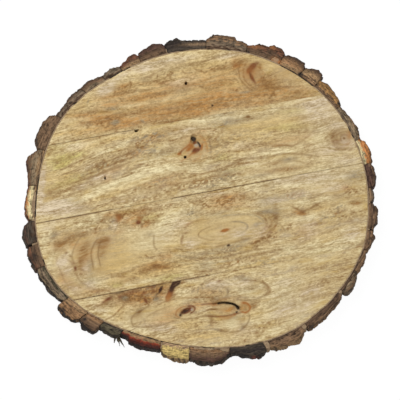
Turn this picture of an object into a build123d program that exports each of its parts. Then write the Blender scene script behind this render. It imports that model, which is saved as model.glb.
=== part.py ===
from build123d import *
import os
from math import ceil, cos, floor, radians, sin

# Round board of four edge-glued planks with short pieces of bark glued round its edge.
# Millimetres, +Z up, origin in the middle of the underside, +Y away from the person using it.

# Reference oval that the outline follows, and the thickness of the planks
board_width = 356.0
board_depth = 346.0
board_thickness = 18.0

# Planks and the glue films between them
grain_angle = 10.8
plank_2_width = 76.7
plank_3_width = 84.6
seam_2_offset = 4.5
glue_film = 0.4
glue_recess = 0.3

# Bed of glue and sawdust between the planks and the bark
bed_thickness = 1.2
bed_recess = 0.5

# Bark pieces: inner layer that every piece has, reach of the rest beyond it, gap at a butt joint, and the
# steps of their tops and undersides
bark_lining = 1.8
bark_thickness = 16.5
bark_gap = 0.4
bark_step = 1.2
bark_bite = 5.0

# Wads of glue and sawdust between and behind the bark pieces
wad_width = 5.0
wad_recess = 0.8

# Flaws in the face of the planks
worm_hole_radius = 1.3
worm_hole_depth = 5.0
knot_hollow_length = 11.0
knot_hollow_width = 6.0
knot_hollow_depth = 3.5
crack_width = 1.0
crack_depth = 3.0

# Every cut runs past the piece by this much
overrun = 6.0

# Edge of the planks, every 15 degrees anticlockwise from +X, as shares of the reference oval
outline_shares = (
    0.929, 0.923, 0.917, 0.910, 0.900, 0.893,
    0.880, 0.874, 0.871, 0.891, 0.914, 0.917,
    0.927, 0.953, 0.962, 0.933, 0.895, 0.879,
    0.885, 0.906, 0.931, 0.938, 0.946, 0.944,
)

# Height up a bark piece and how much of its reach it has there
bark_level_shares = ((0.0, 0.84), (0.30, 0.98), (0.72, 1.0), (1.0, 0.90))

# How far the facets of the bark stand in and out of the smooth contour
facet_share = 0.07

# Bark pieces, anticlockwise. Each row holds the angle at which the piece starts, how far that end leans by
# its outer corner (degrees), the gap before it as a share of wad_width (zero for a butt joint), the drop of
# its top and the lift of its underside as shares of bark_step, and its outer contour from this end to the
# next as (share of the way along, share of bark_thickness).
bark_chip_shares = (
    (-2.0, 0.6, 0.35, 0.9, 0.5, ((0, 0.20), (0.35, 0.30), (0.7, 0.28), (1, 0.16))),
    (3.5, 0.3, 0.0, 0.4, 0.2, ((0, 0.20), (0.12, 0.42), (0.5, 0.56), (0.85, 0.52), (1, 0.40))),
    (11.8, 0.8, 0.0, 0.2, 0.6, ((0, 0.40), (0.1, 0.53), (0.5, 0.61), (0.8, 0.53), (1, 0.28))),
    (21.0, 1.0, 0.0, 0.5, 0.1, ((0, 0.28), (0.3, 0.46), (0.55, 0.41), (0.8, 0.35), (1, 0.24))),
    (34.5, 1.0, 0.0, 0.3, 0.7, ((0, 0.32), (0.2, 0.54), (0.6, 0.60), (0.8, 0.63), (1, 0.48))),
    (46.0, 0.7, 0.0, 0.1, 0.3, ((0, 0.74), (0.12, 0.92), (0.45, 0.94), (0.78, 0.80), (1, 0.58))),
    (53.4, -0.6, 0.1, 0.2, 0.8, ((0, 0.52), (0.15, 0.80), (0.5, 0.88), (0.85, 0.83), (1, 0.60))),
    (
        61.3, 0.2, 0.0, 0.4, 0.4,
        ((0, 0.78), (0.12, 0.92), (0.34, 0.99), (0.45, 0.78), (0.7, 0.72), (1, 0.46)),
    ),
    (
        73.5, 1.2, 0.1, 0.6, 0.2,
        ((0, 0.48), (0.1, 0.60), (0.25, 0.66), (0.33, 0.86), (0.83, 0.92), (1, 0.58)),
    ),
    (
        88.6, 0.0, 0.0, 0.2, 0.6,
        ((0, 0.54), (0.3, 0.59), (0.6, 0.66), (0.68, 0.78), (0.92, 0.74), (1, 0.60)),
    ),
    (102.6, 0.6, 0.2, 0.5, 0.3, ((0, 0.50), (0.12, 0.76), (0.42, 0.80), (0.7, 0.69), (1, 0.54))),
    (113.3, -0.6, 0.0, 0.3, 0.9, ((0, 0.42), (0.15, 0.61), (0.35, 0.60), (0.7, 0.45), (1, 0.30))),
    (120.5, 0.4, 0.0, 0.7, 0.2, ((0, 0.34), (0.5, 0.45), (1, 0.32))),
    (128.0, -0.4, 0.0, 0.5, 0.5, ((0, 0.33), (0.35, 0.42), (0.62, 0.58), (1, 0.46))),
    (136.0, 0.8, 0.0, 0.4, 0.3, ((0, 0.44), (0.25, 0.53), (0.5, 0.48), (0.68, 0.40), (1, 0.36))),
    (
        149.0, 0.4, 0.0, 0.1, 0.6,
        ((0, 0.44), (0.1, 0.76), (0.3, 0.88), (0.55, 0.84), (0.74, 0.84), (1, 0.50)),
    ),
    (
        162.3, 0.5, 0.0, 0.2, 0.2,
        ((0, 0.42), (0.14, 0.72), (0.26, 0.92), (0.36, 0.89), (0.48, 0.79), (0.74, 0.58), (1, 0.46)),
    ),
    (175.6, 0.4, 0.1, 0.5, 0.8, ((0, 0.46), (0.3, 0.57), (0.6, 0.60), (0.85, 0.54), (1, 0.32))),
    (188.4, -0.8, 0.3, 0.2, 0.4, ((0, 0.34), (0.2, 0.67), (0.6, 0.79), (1, 0.70))),
    (196.2, 0.5, 0.5, 0.3, 0.1, ((0, 0.64), (0.3, 0.79), (0.75, 0.74), (1, 0.68))),
    (204.8, 0.0, 0.0, 0.4, 0.5, ((0, 0.56), (0.2, 0.64), (0.55, 0.57), (0.85, 0.51), (1, 0.44))),
    (218.7, -0.4, 0.0, 0.0, 0.7, ((0, 0.78), (0.1, 0.95), (0.5, 0.99), (0.85, 0.97), (1, 0.74))),
    (227.4, -1.2, 0.1, 0.5, 0.2, ((0, 0.66), (0.35, 0.90), (0.9, 0.92), (1, 0.78))),
    (233.5, -0.6, 0.0, 0.6, 0.4, ((0, 0.42), (0.3, 0.48), (0.65, 0.57), (1, 0.48))),
    (
        241.2, -1.0, 0.1, 0.3, 0.6,
        ((0, 0.32), (0.2, 0.34), (0.26, 0.58), (0.6, 0.61), (0.85, 0.53), (1, 0.52)),
    ),
    (255.2, 0.6, 0.3, 0.1, 0.3, ((0, 0.54), (0.12, 0.74), (0.5, 0.86), (0.85, 0.88), (1, 0.80))),
    (
        265.6, 0.0, 0.1, 0.4, 0.1,
        ((0, 0.70), (0.12, 0.83), (0.3, 0.93), (0.58, 0.95), (0.8, 0.82), (1, 0.38)),
    ),
    (
        280.5, -1.6, 0.0, 0.3, 0.5,
        ((0, 0.36), (0.12, 0.34), (0.35, 0.56), (0.6, 0.78), (0.75, 0.78), (0.87, 0.64), (1, 0.44)),
    ),
    (
        292.4, 0.4, 1.0, 0.5, 0.2,
        ((0, 0.46), (0.15, 0.60), (0.4, 0.68), (0.52, 0.60), (0.72, 0.75), (1, 0.40)),
    ),
    (
        307.0, -0.5, 0.9, 0.4, 0.7,
        ((0, 0.44), (0.12, 0.42), (0.45, 0.49), (0.7, 0.38), (0.92, 0.32), (1, 0.22)),
    ),
    (323.9, 0.6, 0.75, 0.3, 0.3, ((0, 0.32), (0.15, 0.49), (0.45, 0.51), (0.8, 0.36), (1, 0.22))),
    (333.0, 0.0, 0.0, 0.5, 0.5, ((0, 0.23), (0.5, 0.34), (1, 0.25))),
    (341.0, 0.5, 0.0, 0.2, 0.2, ((0, 0.26), (0.4, 0.39), (0.76, 0.48), (1, 0.32))),
    (
        348.7, -0.4, 0.3, 0.4, 0.4,
        ((0, 0.36), (0.12, 0.33), (0.3, 0.48), (0.58, 0.53), (0.82, 0.45), (1, 0.20)),
    ),
)

# Gaps before a bark piece that hold a wad: the piece's number, and the wad's reach as a share of bark_thickness
gap_wad_shares = (
    (1, 0.16), (11, 0.34), (19, 0.26), (20, 0.40), (26, 0.46),
    (27, 0.72), (29, 0.50), (30, 0.34), (31, 0.22), (34, 0.20),
)

# Pockets behind a bark piece: the piece's number, the pocket and the wad in it, each as (along, out) shares
pocket_wad_shares = (
    (
        1,
        ((0.2, -0.3), (0.9, -0.3), (0.9, 0.08), (0.5, 0.12), (0.2, 0.09)),
        ((0.2, -0.3), (0.9, -0.3), (0.9, 0.08), (0.5, 0.12), (0.2, 0.09)),
    ),
    (
        8,
        ((0.02, -0.3), (0.30, -0.3), (0.28, 0.20), (0.2, 0.40), (0.06, 0.36)),
        ((0.02, -0.3), (0.30, -0.3), (0.28, 0.20), (0.2, 0.40), (0.06, 0.36)),
    ),
    (
        18,
        ((0.05, -0.3), (0.95, -0.3), (0.92, 0.08), (0.7, 0.25), (0.45, 0.28), (0.2, 0.18)),
        ((0.05, -0.3), (0.95, -0.3), (0.92, 0.08), (0.7, 0.25), (0.45, 0.28), (0.2, 0.18)),
    ),
    (
        27,
        ((0.06, -0.3), (0.97, -0.3), (0.95, 0.34), (0.84, 0.30), (0.68, 0.12), (0.5, 0.22), (0.1, 0.18)),
        ((0.06, -0.3), (0.97, -0.3), (0.95, 0.34), (0.84, 0.30), (0.68, 0.12), (0.5, 0.22), (0.1, 0.18)),
    ),
)

# Worm holes, as (shares of half the width and half the depth, share of the hole radius)
worm_hole_shares = (
    (-0.090, 0.680, 0.9),
    (-0.365, 0.400, 1.4),
    (-0.095, 0.239, 0.9),
    (-0.545, 0.114, 0.6),
)

# Hollow of the dead knot in plank_2 and the open crack in plank_4, in the same shares
knot_hollow_place = (-0.046, 0.345)
knot_hollow_turn = -55.0
crack_shares = ((0.062, -0.632), (0.118, -0.627), (0.172, -0.637), (0.205, -0.655), (0.220, -0.673))


def outline_share(angle):
    """Share of the reference oval at an angle, between the chosen ones."""
    step = 360 / len(outline_shares)
    place = (angle % 360) / step
    before = floor(place)
    low = outline_shares[before % len(outline_shares)]
    high = outline_shares[ceil(place) % len(outline_shares)]
    return low + (high - low) * (place - before)


def oval_point(x_share, y_share):
    """Point at shares of half the width and half the depth."""
    return Vector(board_width / 2 * x_share, board_depth / 2 * y_share, 0)


def rim_point(angle, reach):
    """Point at a distance out from the planks' edge."""
    turn = radians(angle)
    edge = oval_point(cos(turn), sin(turn)) * outline_share(angle)
    return edge + edge.normalized() * reach


def closed_outline(reach):
    """Smooth closed face at a distance out from the planks' edge."""
    step = 360 / len(outline_shares)
    points = [rim_point(step * place, reach) for place in range(len(outline_shares))]
    return make_face(Spline(*points, periodic=True))


def prism(points, bottom, top):
    """Upright solid on a polygon."""
    return Pos(0, 0, bottom) * extrude(make_face(Polyline(*points, close=True)), top - bottom)


def seam_place(offset):
    """Plane square to the planks' edges at an offset across the grain."""
    return Rot(0, 0, grain_angle) * Pos(0, offset, board_thickness / 2)


# Seams between the planks, from the far one to the near one
seam_offsets = (seam_2_offset + plank_2_width, seam_2_offset, seam_2_offset - plank_3_width)
disc = extrude(closed_outline(0), board_thickness)
core = Pos(0, 0, -overrun) * extrude(closed_outline(bed_thickness), board_thickness + 2 * overrun)


def worm_hole(x_share, y_share, radius_share):
    """Round hole bored down from the face."""
    place = oval_point(x_share, y_share)
    cutter = Cylinder(
        worm_hole_radius * radius_share,
        worm_hole_depth + overrun,
        align=(Align.CENTER, Align.CENTER, Align.MIN),
    )
    return Pos(place.X, place.Y, board_thickness - worm_hole_depth) * cutter


def knot_hollow():
    """Oval hollow where the dead knot has fallen out."""
    place = oval_point(*knot_hollow_place)
    mouth = Ellipse(knot_hollow_length / 2, knot_hollow_width / 2)
    floor_of_hollow = Ellipse(knot_hollow_length / 4, knot_hollow_width / 4)
    hollow = loft([Pos(0, 0, -knot_hollow_depth) * floor_of_hollow, mouth])
    above = extrude(mouth, overrun)
    return Pos(place.X, place.Y, board_thickness) * Rot(0, 0, knot_hollow_turn) * (hollow + above)


def open_crack():
    """Thin curved slot along the growth ring that has opened."""
    points = [oval_point(*shares) for shares in crack_shares]
    line = Spline(*points)
    slot = trace(line, crack_width)
    return Pos(0, 0, board_thickness - crack_depth) * extrude(slot, crack_depth + overrun)


def planks():
    """Four planks, each the disc between two seams."""
    reach = board_width + board_depth
    edges = (reach, *seam_offsets, -reach)
    flaws = [worm_hole(*shares) for shares in worm_hole_shares] + [knot_hollow(), open_crack()]
    made = []
    for far, near in zip(edges, edges[1:]):
        width = far - near - glue_film
        band = seam_place((far + near) / 2) * Box(2 * reach, width, board_thickness + 2 * overrun)
        plank = disc & band
        for flaw in flaws:
            plank = plank - flaw
        made.append(plank)
    return made


def glue_lines():
    """Glue films between the planks, a little below the face."""
    low_disc = Pos(0, 0, glue_recess) * extrude(closed_outline(0), board_thickness - 2 * glue_recess)
    length = board_width + board_depth
    film = Box(length, glue_film, board_thickness)
    return [low_disc & (seam_place(offset) * film) for offset in seam_offsets]


def filler_bed():
    """Ring of glue and sawdust round the planks' edge."""
    ring = closed_outline(bed_thickness) - closed_outline(0)
    return Pos(0, 0, bed_recess) * extrude(ring, board_thickness - 2 * bed_recess)


def joint_width(number):
    """Width of the gap before a bark piece."""
    share = bark_chip_shares[number % len(bark_chip_shares)][2]
    return max(bark_gap, wad_width * share)


def joint_point(number, reach, side):
    """Point on the end of a bark piece: side 1 is the piece after the joint, -1 the one before, 0 between."""
    angle, lean = bark_chip_shares[number % len(bark_chip_shares)][:2]
    inner = rim_point(angle, -bark_bite)
    outer = rim_point(angle + lean, bark_thickness)
    line = outer - inner
    across = Vector(-line.Y, line.X, 0).normalized()
    along = (reach + bark_bite) / (bark_thickness + bark_bite)
    return inner + line * along + across * (side * joint_width(number) / 2)


def chip_point(number, along, reach):
    """Point of a bark piece at a share of the way along it."""
    if along == 0:
        return joint_point(number, reach, 1)
    if along == 1:
        return joint_point(number + 1, reach, -1)
    count = len(bark_chip_shares)
    angle, lean = bark_chip_shares[number][:2]
    next_angle, next_lean = bark_chip_shares[(number + 1) % count][:2]
    out = reach / bark_thickness
    start = angle + lean * out
    end = next_angle + 360 * ((number + 1) // count) + next_lean * out
    return rim_point(start + (end - start) * along, reach)


def bark_section(number, level, height, level_reach):
    """Outline of a bark piece at one height."""
    contour = bark_chip_shares[number][5]
    points = [joint_point(number, -bark_bite, 1)]
    for corner, (along, out) in enumerate(contour):
        facet = 1 + facet_share * sin(2.4 * corner + 1.9 * level + number)
        points.append(chip_point(number, along, bark_lining + bark_thickness * out * level_reach * facet))
    points.append(joint_point(number + 1, -bark_bite, -1))
    return Pos(0, 0, height) * make_face(Polyline(*points, close=True))


def bark_chip(number):
    """One bark piece, seated on the bed, with faceted outer bark."""
    drop, lift = bark_chip_shares[number][3:5]
    bottom = bark_step * lift
    top = board_thickness - bark_step * drop
    sections = [
        bark_section(number, level, bottom + (top - bottom) * height, reach)
        for level, (height, reach) in enumerate(bark_level_shares)
    ]
    return loft(sections, ruled=True) - core


def shaped_prism(number, shares, bottom, top):
    """Upright solid on a polygon given in shares of a bark piece."""
    points = [chip_point(number, along, bark_thickness * out) for along, out in shares]
    return prism(points, bottom, top)


def gap_wad(number, share):
    """Wad that fills the gap before a bark piece."""
    reach = bark_thickness * share
    points = [
        joint_point(number, -bark_bite, -1),
        joint_point(number, -bark_bite, 1),
        joint_point(number, reach, 1),
        joint_point(number, reach * 1.15, 0),
        joint_point(number, reach, -1),
    ]
    return prism(points, wad_recess, board_thickness - wad_recess) - core


def pocket_wad(number, shares):
    """Wad behind a bark piece."""
    return shaped_prism(number, shares, wad_recess, board_thickness - wad_recess) - core


def save(shape, name):
    """Write one piece."""
    export_step(shape, f"parts/{name}.step")


os.makedirs("parts", exist_ok=True)

for place, plank in enumerate(planks(), start=1):
    save(plank, f"plank_{place}")

for place, film in enumerate(glue_lines(), start=1):
    save(film, f"glue_line_{place}")

save(filler_bed(), "filler_bed")

pockets = {piece: pocket for piece, pocket, _ in pocket_wad_shares}
for number in range(len(bark_chip_shares)):
    chip = bark_chip(number)
    if number + 1 in pockets:
        chip = chip - shaped_prism(number, pockets[number + 1], -overrun, board_thickness + overrun)
    save(chip, f"bark_chip_{number + 1:02d}")

wads = [gap_wad(piece - 1, share) for piece, share in gap_wad_shares]
wads += [pocket_wad(piece - 1, shares) for piece, _, shares in pocket_wad_shares]
for place, wad in enumerate(wads, start=1):
    save(wad, f"filler_wad_{place:02d}")
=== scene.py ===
"""Looks of the round board: four edge-glued planks of a pale hardwood, rimmed with short pieces of bark."""
import logging
import math
from dataclasses import dataclass, field
from enum import Enum
from typing import Callable

import bmesh
import bpy
import numpy as np
from mathutils import Matrix, Vector, kdtree, noise


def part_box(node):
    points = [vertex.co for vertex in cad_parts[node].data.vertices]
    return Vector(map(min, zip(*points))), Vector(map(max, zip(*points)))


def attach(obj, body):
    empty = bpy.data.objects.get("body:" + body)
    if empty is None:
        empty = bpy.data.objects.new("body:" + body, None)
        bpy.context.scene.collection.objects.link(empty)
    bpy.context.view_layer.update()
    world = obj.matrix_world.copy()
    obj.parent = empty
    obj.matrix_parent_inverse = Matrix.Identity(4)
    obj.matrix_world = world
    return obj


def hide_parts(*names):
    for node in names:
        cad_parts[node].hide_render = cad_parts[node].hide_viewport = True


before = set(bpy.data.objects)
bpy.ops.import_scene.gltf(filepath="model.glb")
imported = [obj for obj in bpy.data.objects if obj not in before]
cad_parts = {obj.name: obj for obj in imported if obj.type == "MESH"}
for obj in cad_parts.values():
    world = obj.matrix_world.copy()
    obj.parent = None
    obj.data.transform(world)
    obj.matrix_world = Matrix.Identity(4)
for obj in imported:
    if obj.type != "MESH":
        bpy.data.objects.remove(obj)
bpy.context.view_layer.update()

Array = np.ndarray
Place = tuple[float, float]
Socket = bpy.types.NodeSocket

LOG = logging.getLogger("round_board")
MM = 0.001
THICKNESS = 18.0
GRAIN_ANGLE = 10.8
BED_WIDTH = 1.2
RIM_RADIUS = 170.0
ROOT = "root"

# The face is described as it is seen from in front and above: millimetres to the right and downwards
# from the upper left corner of a 400 millimetre view, at this tilt, with the board's middle here
VIEW_TILT = 76.0
VIEW_SIDE = 400.0
MIDDLE_SEEN = (202.0, 197.2)

# Specks of a broken patch lie a little steeper than the grain and are stronger than the patch's weight
SPECK_LEAN = 16.0
SPECK_GAIN = 1.6

# A darker fibre loses more green and blue than red
WARMING = (1.0, 1.2, 1.5)

# Degrees that a mark rises to the right in the view, where its row says nothing else
GRAIN_LEAN = 10.3

# Gains on the weights of patches and lines, and how far the wide patches and the finer marks stray
PATCH_GAIN = 1.33
STROKE_GAIN = 1.25
WIDE_FROM = 3
WIDE_SWAY = 1.0
FINE_SWAY = 0.3

# Millimetres between the places where pieces read their patterns, so that no two pieces look alike
WOOD_SHIFT = 400.0
BARK_SHIFT = 97.0

# Noises along the fibres: stretch along and across them, octaves and roughness
FIBRE_LAYERS = {
    "fibre": (0.16, 1.0, 2, 0.55),
    "streak": (0.06, 0.5, 2.5, 0.6),
    "band": (0.022, 0.13, 2, 0.5),
    "fleck": (0.45, 0.75, 2, 0.6),
}

# Weights that these noises and the mottling have in the brightness of the wood, beside the fibre's one
LEVEL_WEIGHTS = {"streak": 1.0, "band": 0.9, "mottle": 0.95, "fleck": 0.85}


class Tone(Enum):
    """Named colours of the wood, the filler and the bark: red, green and blue of 255."""

    STRAW = (209, 185, 135)
    STRAW_DEEP = (152, 118, 73)
    STRAW_PALE = (237, 219, 170)
    HONEY = (199, 164, 86)
    STONE = (178, 161, 137)
    CREAM = (221, 203, 157)
    GOLD = (206, 175, 114)
    YELLOW = (190, 172, 104)
    ORANGE = (178, 130, 72)
    BROWN = (142, 103, 55)
    GREY = (148, 130, 100)
    PINK = (206, 185, 152)
    HEART = (112, 61, 30)
    AMBER = (164, 104, 47)
    UMBER = (57, 30, 12)
    LINE = (132, 97, 54)
    # Near-black of holes, hollows and the open crack: painted shade inside them
    HOLE_SHADE = (34, 23, 15)
    GLUE_DARK = (62, 50, 36)
    SAWDUST = (170, 140, 108)
    SAWDUST_PALE = (196, 170, 136)
    SAWDUST_ORANGE = (190, 130, 84)
    COAL = (50, 43, 39)
    CHARCOAL = (70, 61, 51)
    MOSS = (88, 80, 62)
    MAROON = (82, 60, 50)
    RUSSET = (104, 70, 52)
    DARK_BROWN = (88, 68, 52)
    BARK_BROWN = (112, 88, 66)
    WARM_BROWN = (126, 98, 72)
    GREY_BROWN = (110, 94, 76)
    GREY_TAN = (128, 110, 86)
    TAN = (152, 122, 88)
    LIGHT_BROWN = (142, 108, 76)
    ORANGE_BARK = (176, 118, 70)
    GOLDEN_BARK = (146, 110, 68)
    CREAM_BARK = (206, 188, 142)
    YELLOW_BARK = (186, 162, 102)
    RED_BARK = (122, 52, 35)
    DARK_RED = (70, 38, 32)


BROAD_TONES = (Tone.CREAM, Tone.GOLD, Tone.YELLOW, Tone.ORANGE, Tone.BROWN, Tone.GREY, Tone.PINK)
SMALL_TONES = (Tone.HEART, Tone.AMBER, Tone.LINE, Tone.UMBER, Tone.HOLE_SHADE, Tone.STONE)
FACE_TONES = BROAD_TONES + SMALL_TONES
RIM_TONES = (Tone.ORANGE_BARK, Tone.CREAM_BARK, Tone.RED_BARK, Tone.SAWDUST, Tone.COAL)


def linear(tone: Tone, lift: float = 1.0) -> tuple[float, float, float, float]:
    """Turn a tone into the colour that a shader takes.

    Args:
        tone: the tone, in display values.
        lift: factor on the display values.

    Returns:
        The colour in linear light, with an alpha of one.
    """
    shares = [min(value * lift / 255, 1.0) for value in tone.value]
    light = [share / 12.92 if share <= 0.04045 else ((share + 0.055) / 1.055) ** 2.4 for share in shares]
    return (light[0], light[1], light[2], 1.0)


def tone_name(tone: Tone) -> str:
    """Name of the mesh attribute that holds a tone's cover."""
    return f"tone_{tone.name.lower()}"


def smooth_step(value: Array, low: float, high: float) -> Array:
    """Rise from zero at low to one at high, level at both ends."""
    share = np.clip((value - low) / (high - low), 0, 1)
    return share * share * (3 - 2 * share)


def to_seen(x: Array, y: Array) -> tuple[Array, Array]:
    """Turn board millimetres into the view's right and down millimetres."""
    return MIDDLE_SEEN[0] + x, MIDDLE_SEEN[1] - y * math.sin(math.radians(VIEW_TILT))


def from_seen(right: float, down: float) -> Place:
    """Turn a place in the view into board millimetres."""
    return right - MIDDLE_SEEN[0], (MIDDLE_SEEN[1] - down) / math.sin(math.radians(VIEW_TILT))


def to_grain(x: Array, y: Array) -> tuple[Array, Array]:
    """Turn board millimetres into millimetres along and across the grain."""
    turn = math.radians(GRAIN_ANGLE)
    return x * math.cos(turn) + y * math.sin(turn), y * math.cos(turn) - x * math.sin(turn)


def from_grain(along: Array, across: Array) -> tuple[Array, Array]:
    """Turn millimetres along and across the grain into board millimetres."""
    turn = math.radians(GRAIN_ANGLE)
    return along * math.cos(turn) - across * math.sin(turn), along * math.sin(turn) + across * math.cos(turn)


@dataclass(frozen=True)
class Ripple:
    """Smooth, repeatable noise over a plane, for shapes that a hand would draw unevenly."""

    seed: int
    cells: int = 64

    def at(self, x: Array, y: Array) -> Array:
        """Sample the noise.

        Args:
            x: places to the right, in noise cells.
            y: places upwards, in noise cells.

        Returns:
            Values from about -1 to 1.
        """
        table = np.random.default_rng(self.seed).uniform(-1, 1, (self.cells, self.cells))
        left, low = np.floor(x).astype(int), np.floor(y).astype(int)
        across, up = x - left, y - low
        across, up = across * across * (3 - 2 * across), up * up * (3 - 2 * up)
        wrap = self.cells
        near = table[left % wrap, low % wrap] * (1 - across) + table[(left + 1) % wrap, low % wrap] * across
        far = table[left % wrap, (low + 1) % wrap] * (1 - across)
        far = far + table[(left + 1) % wrap, (low + 1) % wrap] * across
        return near * (1 - up) + far * up


@dataclass(frozen=True)
class Patch:
    """Soft oval area of another tone on the face, at a place in the view."""

    x: float
    y: float
    length: float
    width: float
    tone: Tone
    weight: float = 0.6
    lean: float = GRAIN_LEAN
    edge: float = 1.0
    grain: float = 0.0

    def cover(self, x: Array, y: Array) -> Array:
        """Share of the tone at each place in the view."""
        turn = math.radians(self.lean)
        along = ((x - self.x) * math.cos(turn) - (y - self.y) * math.sin(turn)) / self.length
        across = ((x - self.x) * math.sin(turn) + (y - self.y) * math.cos(turn)) / self.width
        found = self.weight * np.exp(-((along**2 + across**2) ** self.edge))
        if self.grain:
            turn = math.radians(SPECK_LEAN)
            run = (x * math.cos(turn) - y * math.sin(turn)) / self.grain
            rise = (x * math.sin(turn) + y * math.cos(turn)) / self.grain
            specks = Ripple(71).at(run, 1.7 * rise) + 0.5 * Ripple(72).at(0.4 * run, rise)
            found *= SPECK_GAIN * smooth_step(specks, -0.1, 0.6)
        return found


@dataclass(frozen=True)
class Stroke:
    """Drawn line of another tone on the face, through places in the view."""

    points: tuple[Place, ...]
    tone: Tone = Tone.LINE
    weight: float = 0.5
    width: float = 0.9

    def path(self) -> Array:
        """Smooth path through the points, a millimetre or two a step."""
        ends = np.array(self.points, float)
        ends = np.vstack([2 * ends[0] - ends[1], ends, 2 * ends[-1] - ends[-2]])
        pieces = []
        for before, start, end, after in zip(ends, ends[1:], ends[2:], ends[3:]):
            count = max(int(np.hypot(*(end - start)) / 1.5), 2)
            step = np.linspace(0, 1, count, endpoint=False)[:, None]
            bend = (2 * before - 5 * start + 4 * end - after) * step**2
            twist = (3 * start - before - 3 * end + after) * step**3
            pieces.append(0.5 * (2 * start + (end - before) * step + bend + twist))
        return np.vstack([*pieces, ends[-2]])

    def cover(self, x: Array, y: Array) -> Array:
        """Share of the tone at each place in the view, fading at the line's ends."""
        path = self.path()
        low, high = path.min(0) - 4 * self.width, path.max(0) + 4 * self.width
        near = (x > low[0]) & (x < high[0]) & (y > low[1]) & (y < high[1])
        found = np.zeros_like(x)
        if not near.any():
            return found
        spots = np.stack([x[near], y[near]], 1)
        best, share = np.full(len(spots), 1e9), np.zeros(len(spots))
        for step, (start, end) in enumerate(zip(path, path[1:])):
            run = end - start
            along = np.clip((spots - start) @ run / max(run @ run, 1e-9), 0, 1)
            gap = np.hypot(*(spots - start - along[:, None] * run).T)
            closer = gap < best
            best[closer] = gap[closer]
            share[closer] = (step + along[closer]) / (len(path) - 1)
        fade = np.clip(8 * np.minimum(share, 1 - share) + 0.25, 0, 1)
        found[near] = self.weight * fade * np.exp(-((best / self.width) ** 2))
        return found


def arc(
    tone: Tone, weight: float, thick: float, x: float, y: float, length: float, width: float,
    start: float, end: float, lean: float = GRAIN_LEAN,
) -> Stroke:
    """Part of an oval growth ring as a stroke.

    Args:
        tone: tone of the line.
        weight: share of the tone, in hundredths.
        thick: width of the line.
        x: middle of the oval, to the right in the view.
        y: middle of the oval, downwards in the view.
        length: half the oval's length.
        width: half its width.
        start: angle where the line starts, in degrees anticlockwise from the right.
        end: angle where it ends.
        lean: degrees that the oval rises to the right.

    Returns:
        The stroke.
    """
    turn = math.radians(lean)
    points = []
    for angle in np.radians(np.linspace(start, end, max(int(abs(end - start) / 6), 3))):
        along, across = length * math.cos(angle), width * math.sin(angle)
        points.append((
            x + along * math.cos(turn) - across * math.sin(turn),
            y - along * math.sin(turn) - across * math.cos(turn),
        ))
    return Stroke(tuple(points), tone, weight / 100, thick)


@dataclass(frozen=True)
class Swirl:
    """Knot that the fibres part round."""

    x: float
    y: float
    length: float
    width: float
    push: float = 0.8


@dataclass(frozen=True)
class Bend:
    """Area where the fibres lie steeper than the rest, in degrees."""

    x: float
    y: float
    length: float
    width: float
    turn: float


def patches(tone: Tone, *rows: tuple[float, ...]) -> tuple[Patch, ...]:
    """Patches of one tone: right, down, length, width, weight in hundredths, lean, edge and grain."""
    return tuple(Patch(*row[:4], tone, row[4] / 100, *row[5:]) for row in rows)


def strokes(tone: Tone, *rows: tuple[float, ...]) -> tuple[Stroke, ...]:
    """Lines of one tone: weight in hundredths and width, then the places that each goes through."""
    return tuple(Stroke(tuple(zip(row[2::2], row[3::2])), tone, row[0] / 100, row[1]) for row in rows)


def rings(tone: Tone, *rows: tuple[float, ...]) -> tuple[Stroke, ...]:
    """Parts of oval growth rings of one tone: weight in hundredths, width and the oval's values for arc."""
    return tuple(arc(tone, *row) for row in rows)


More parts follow.
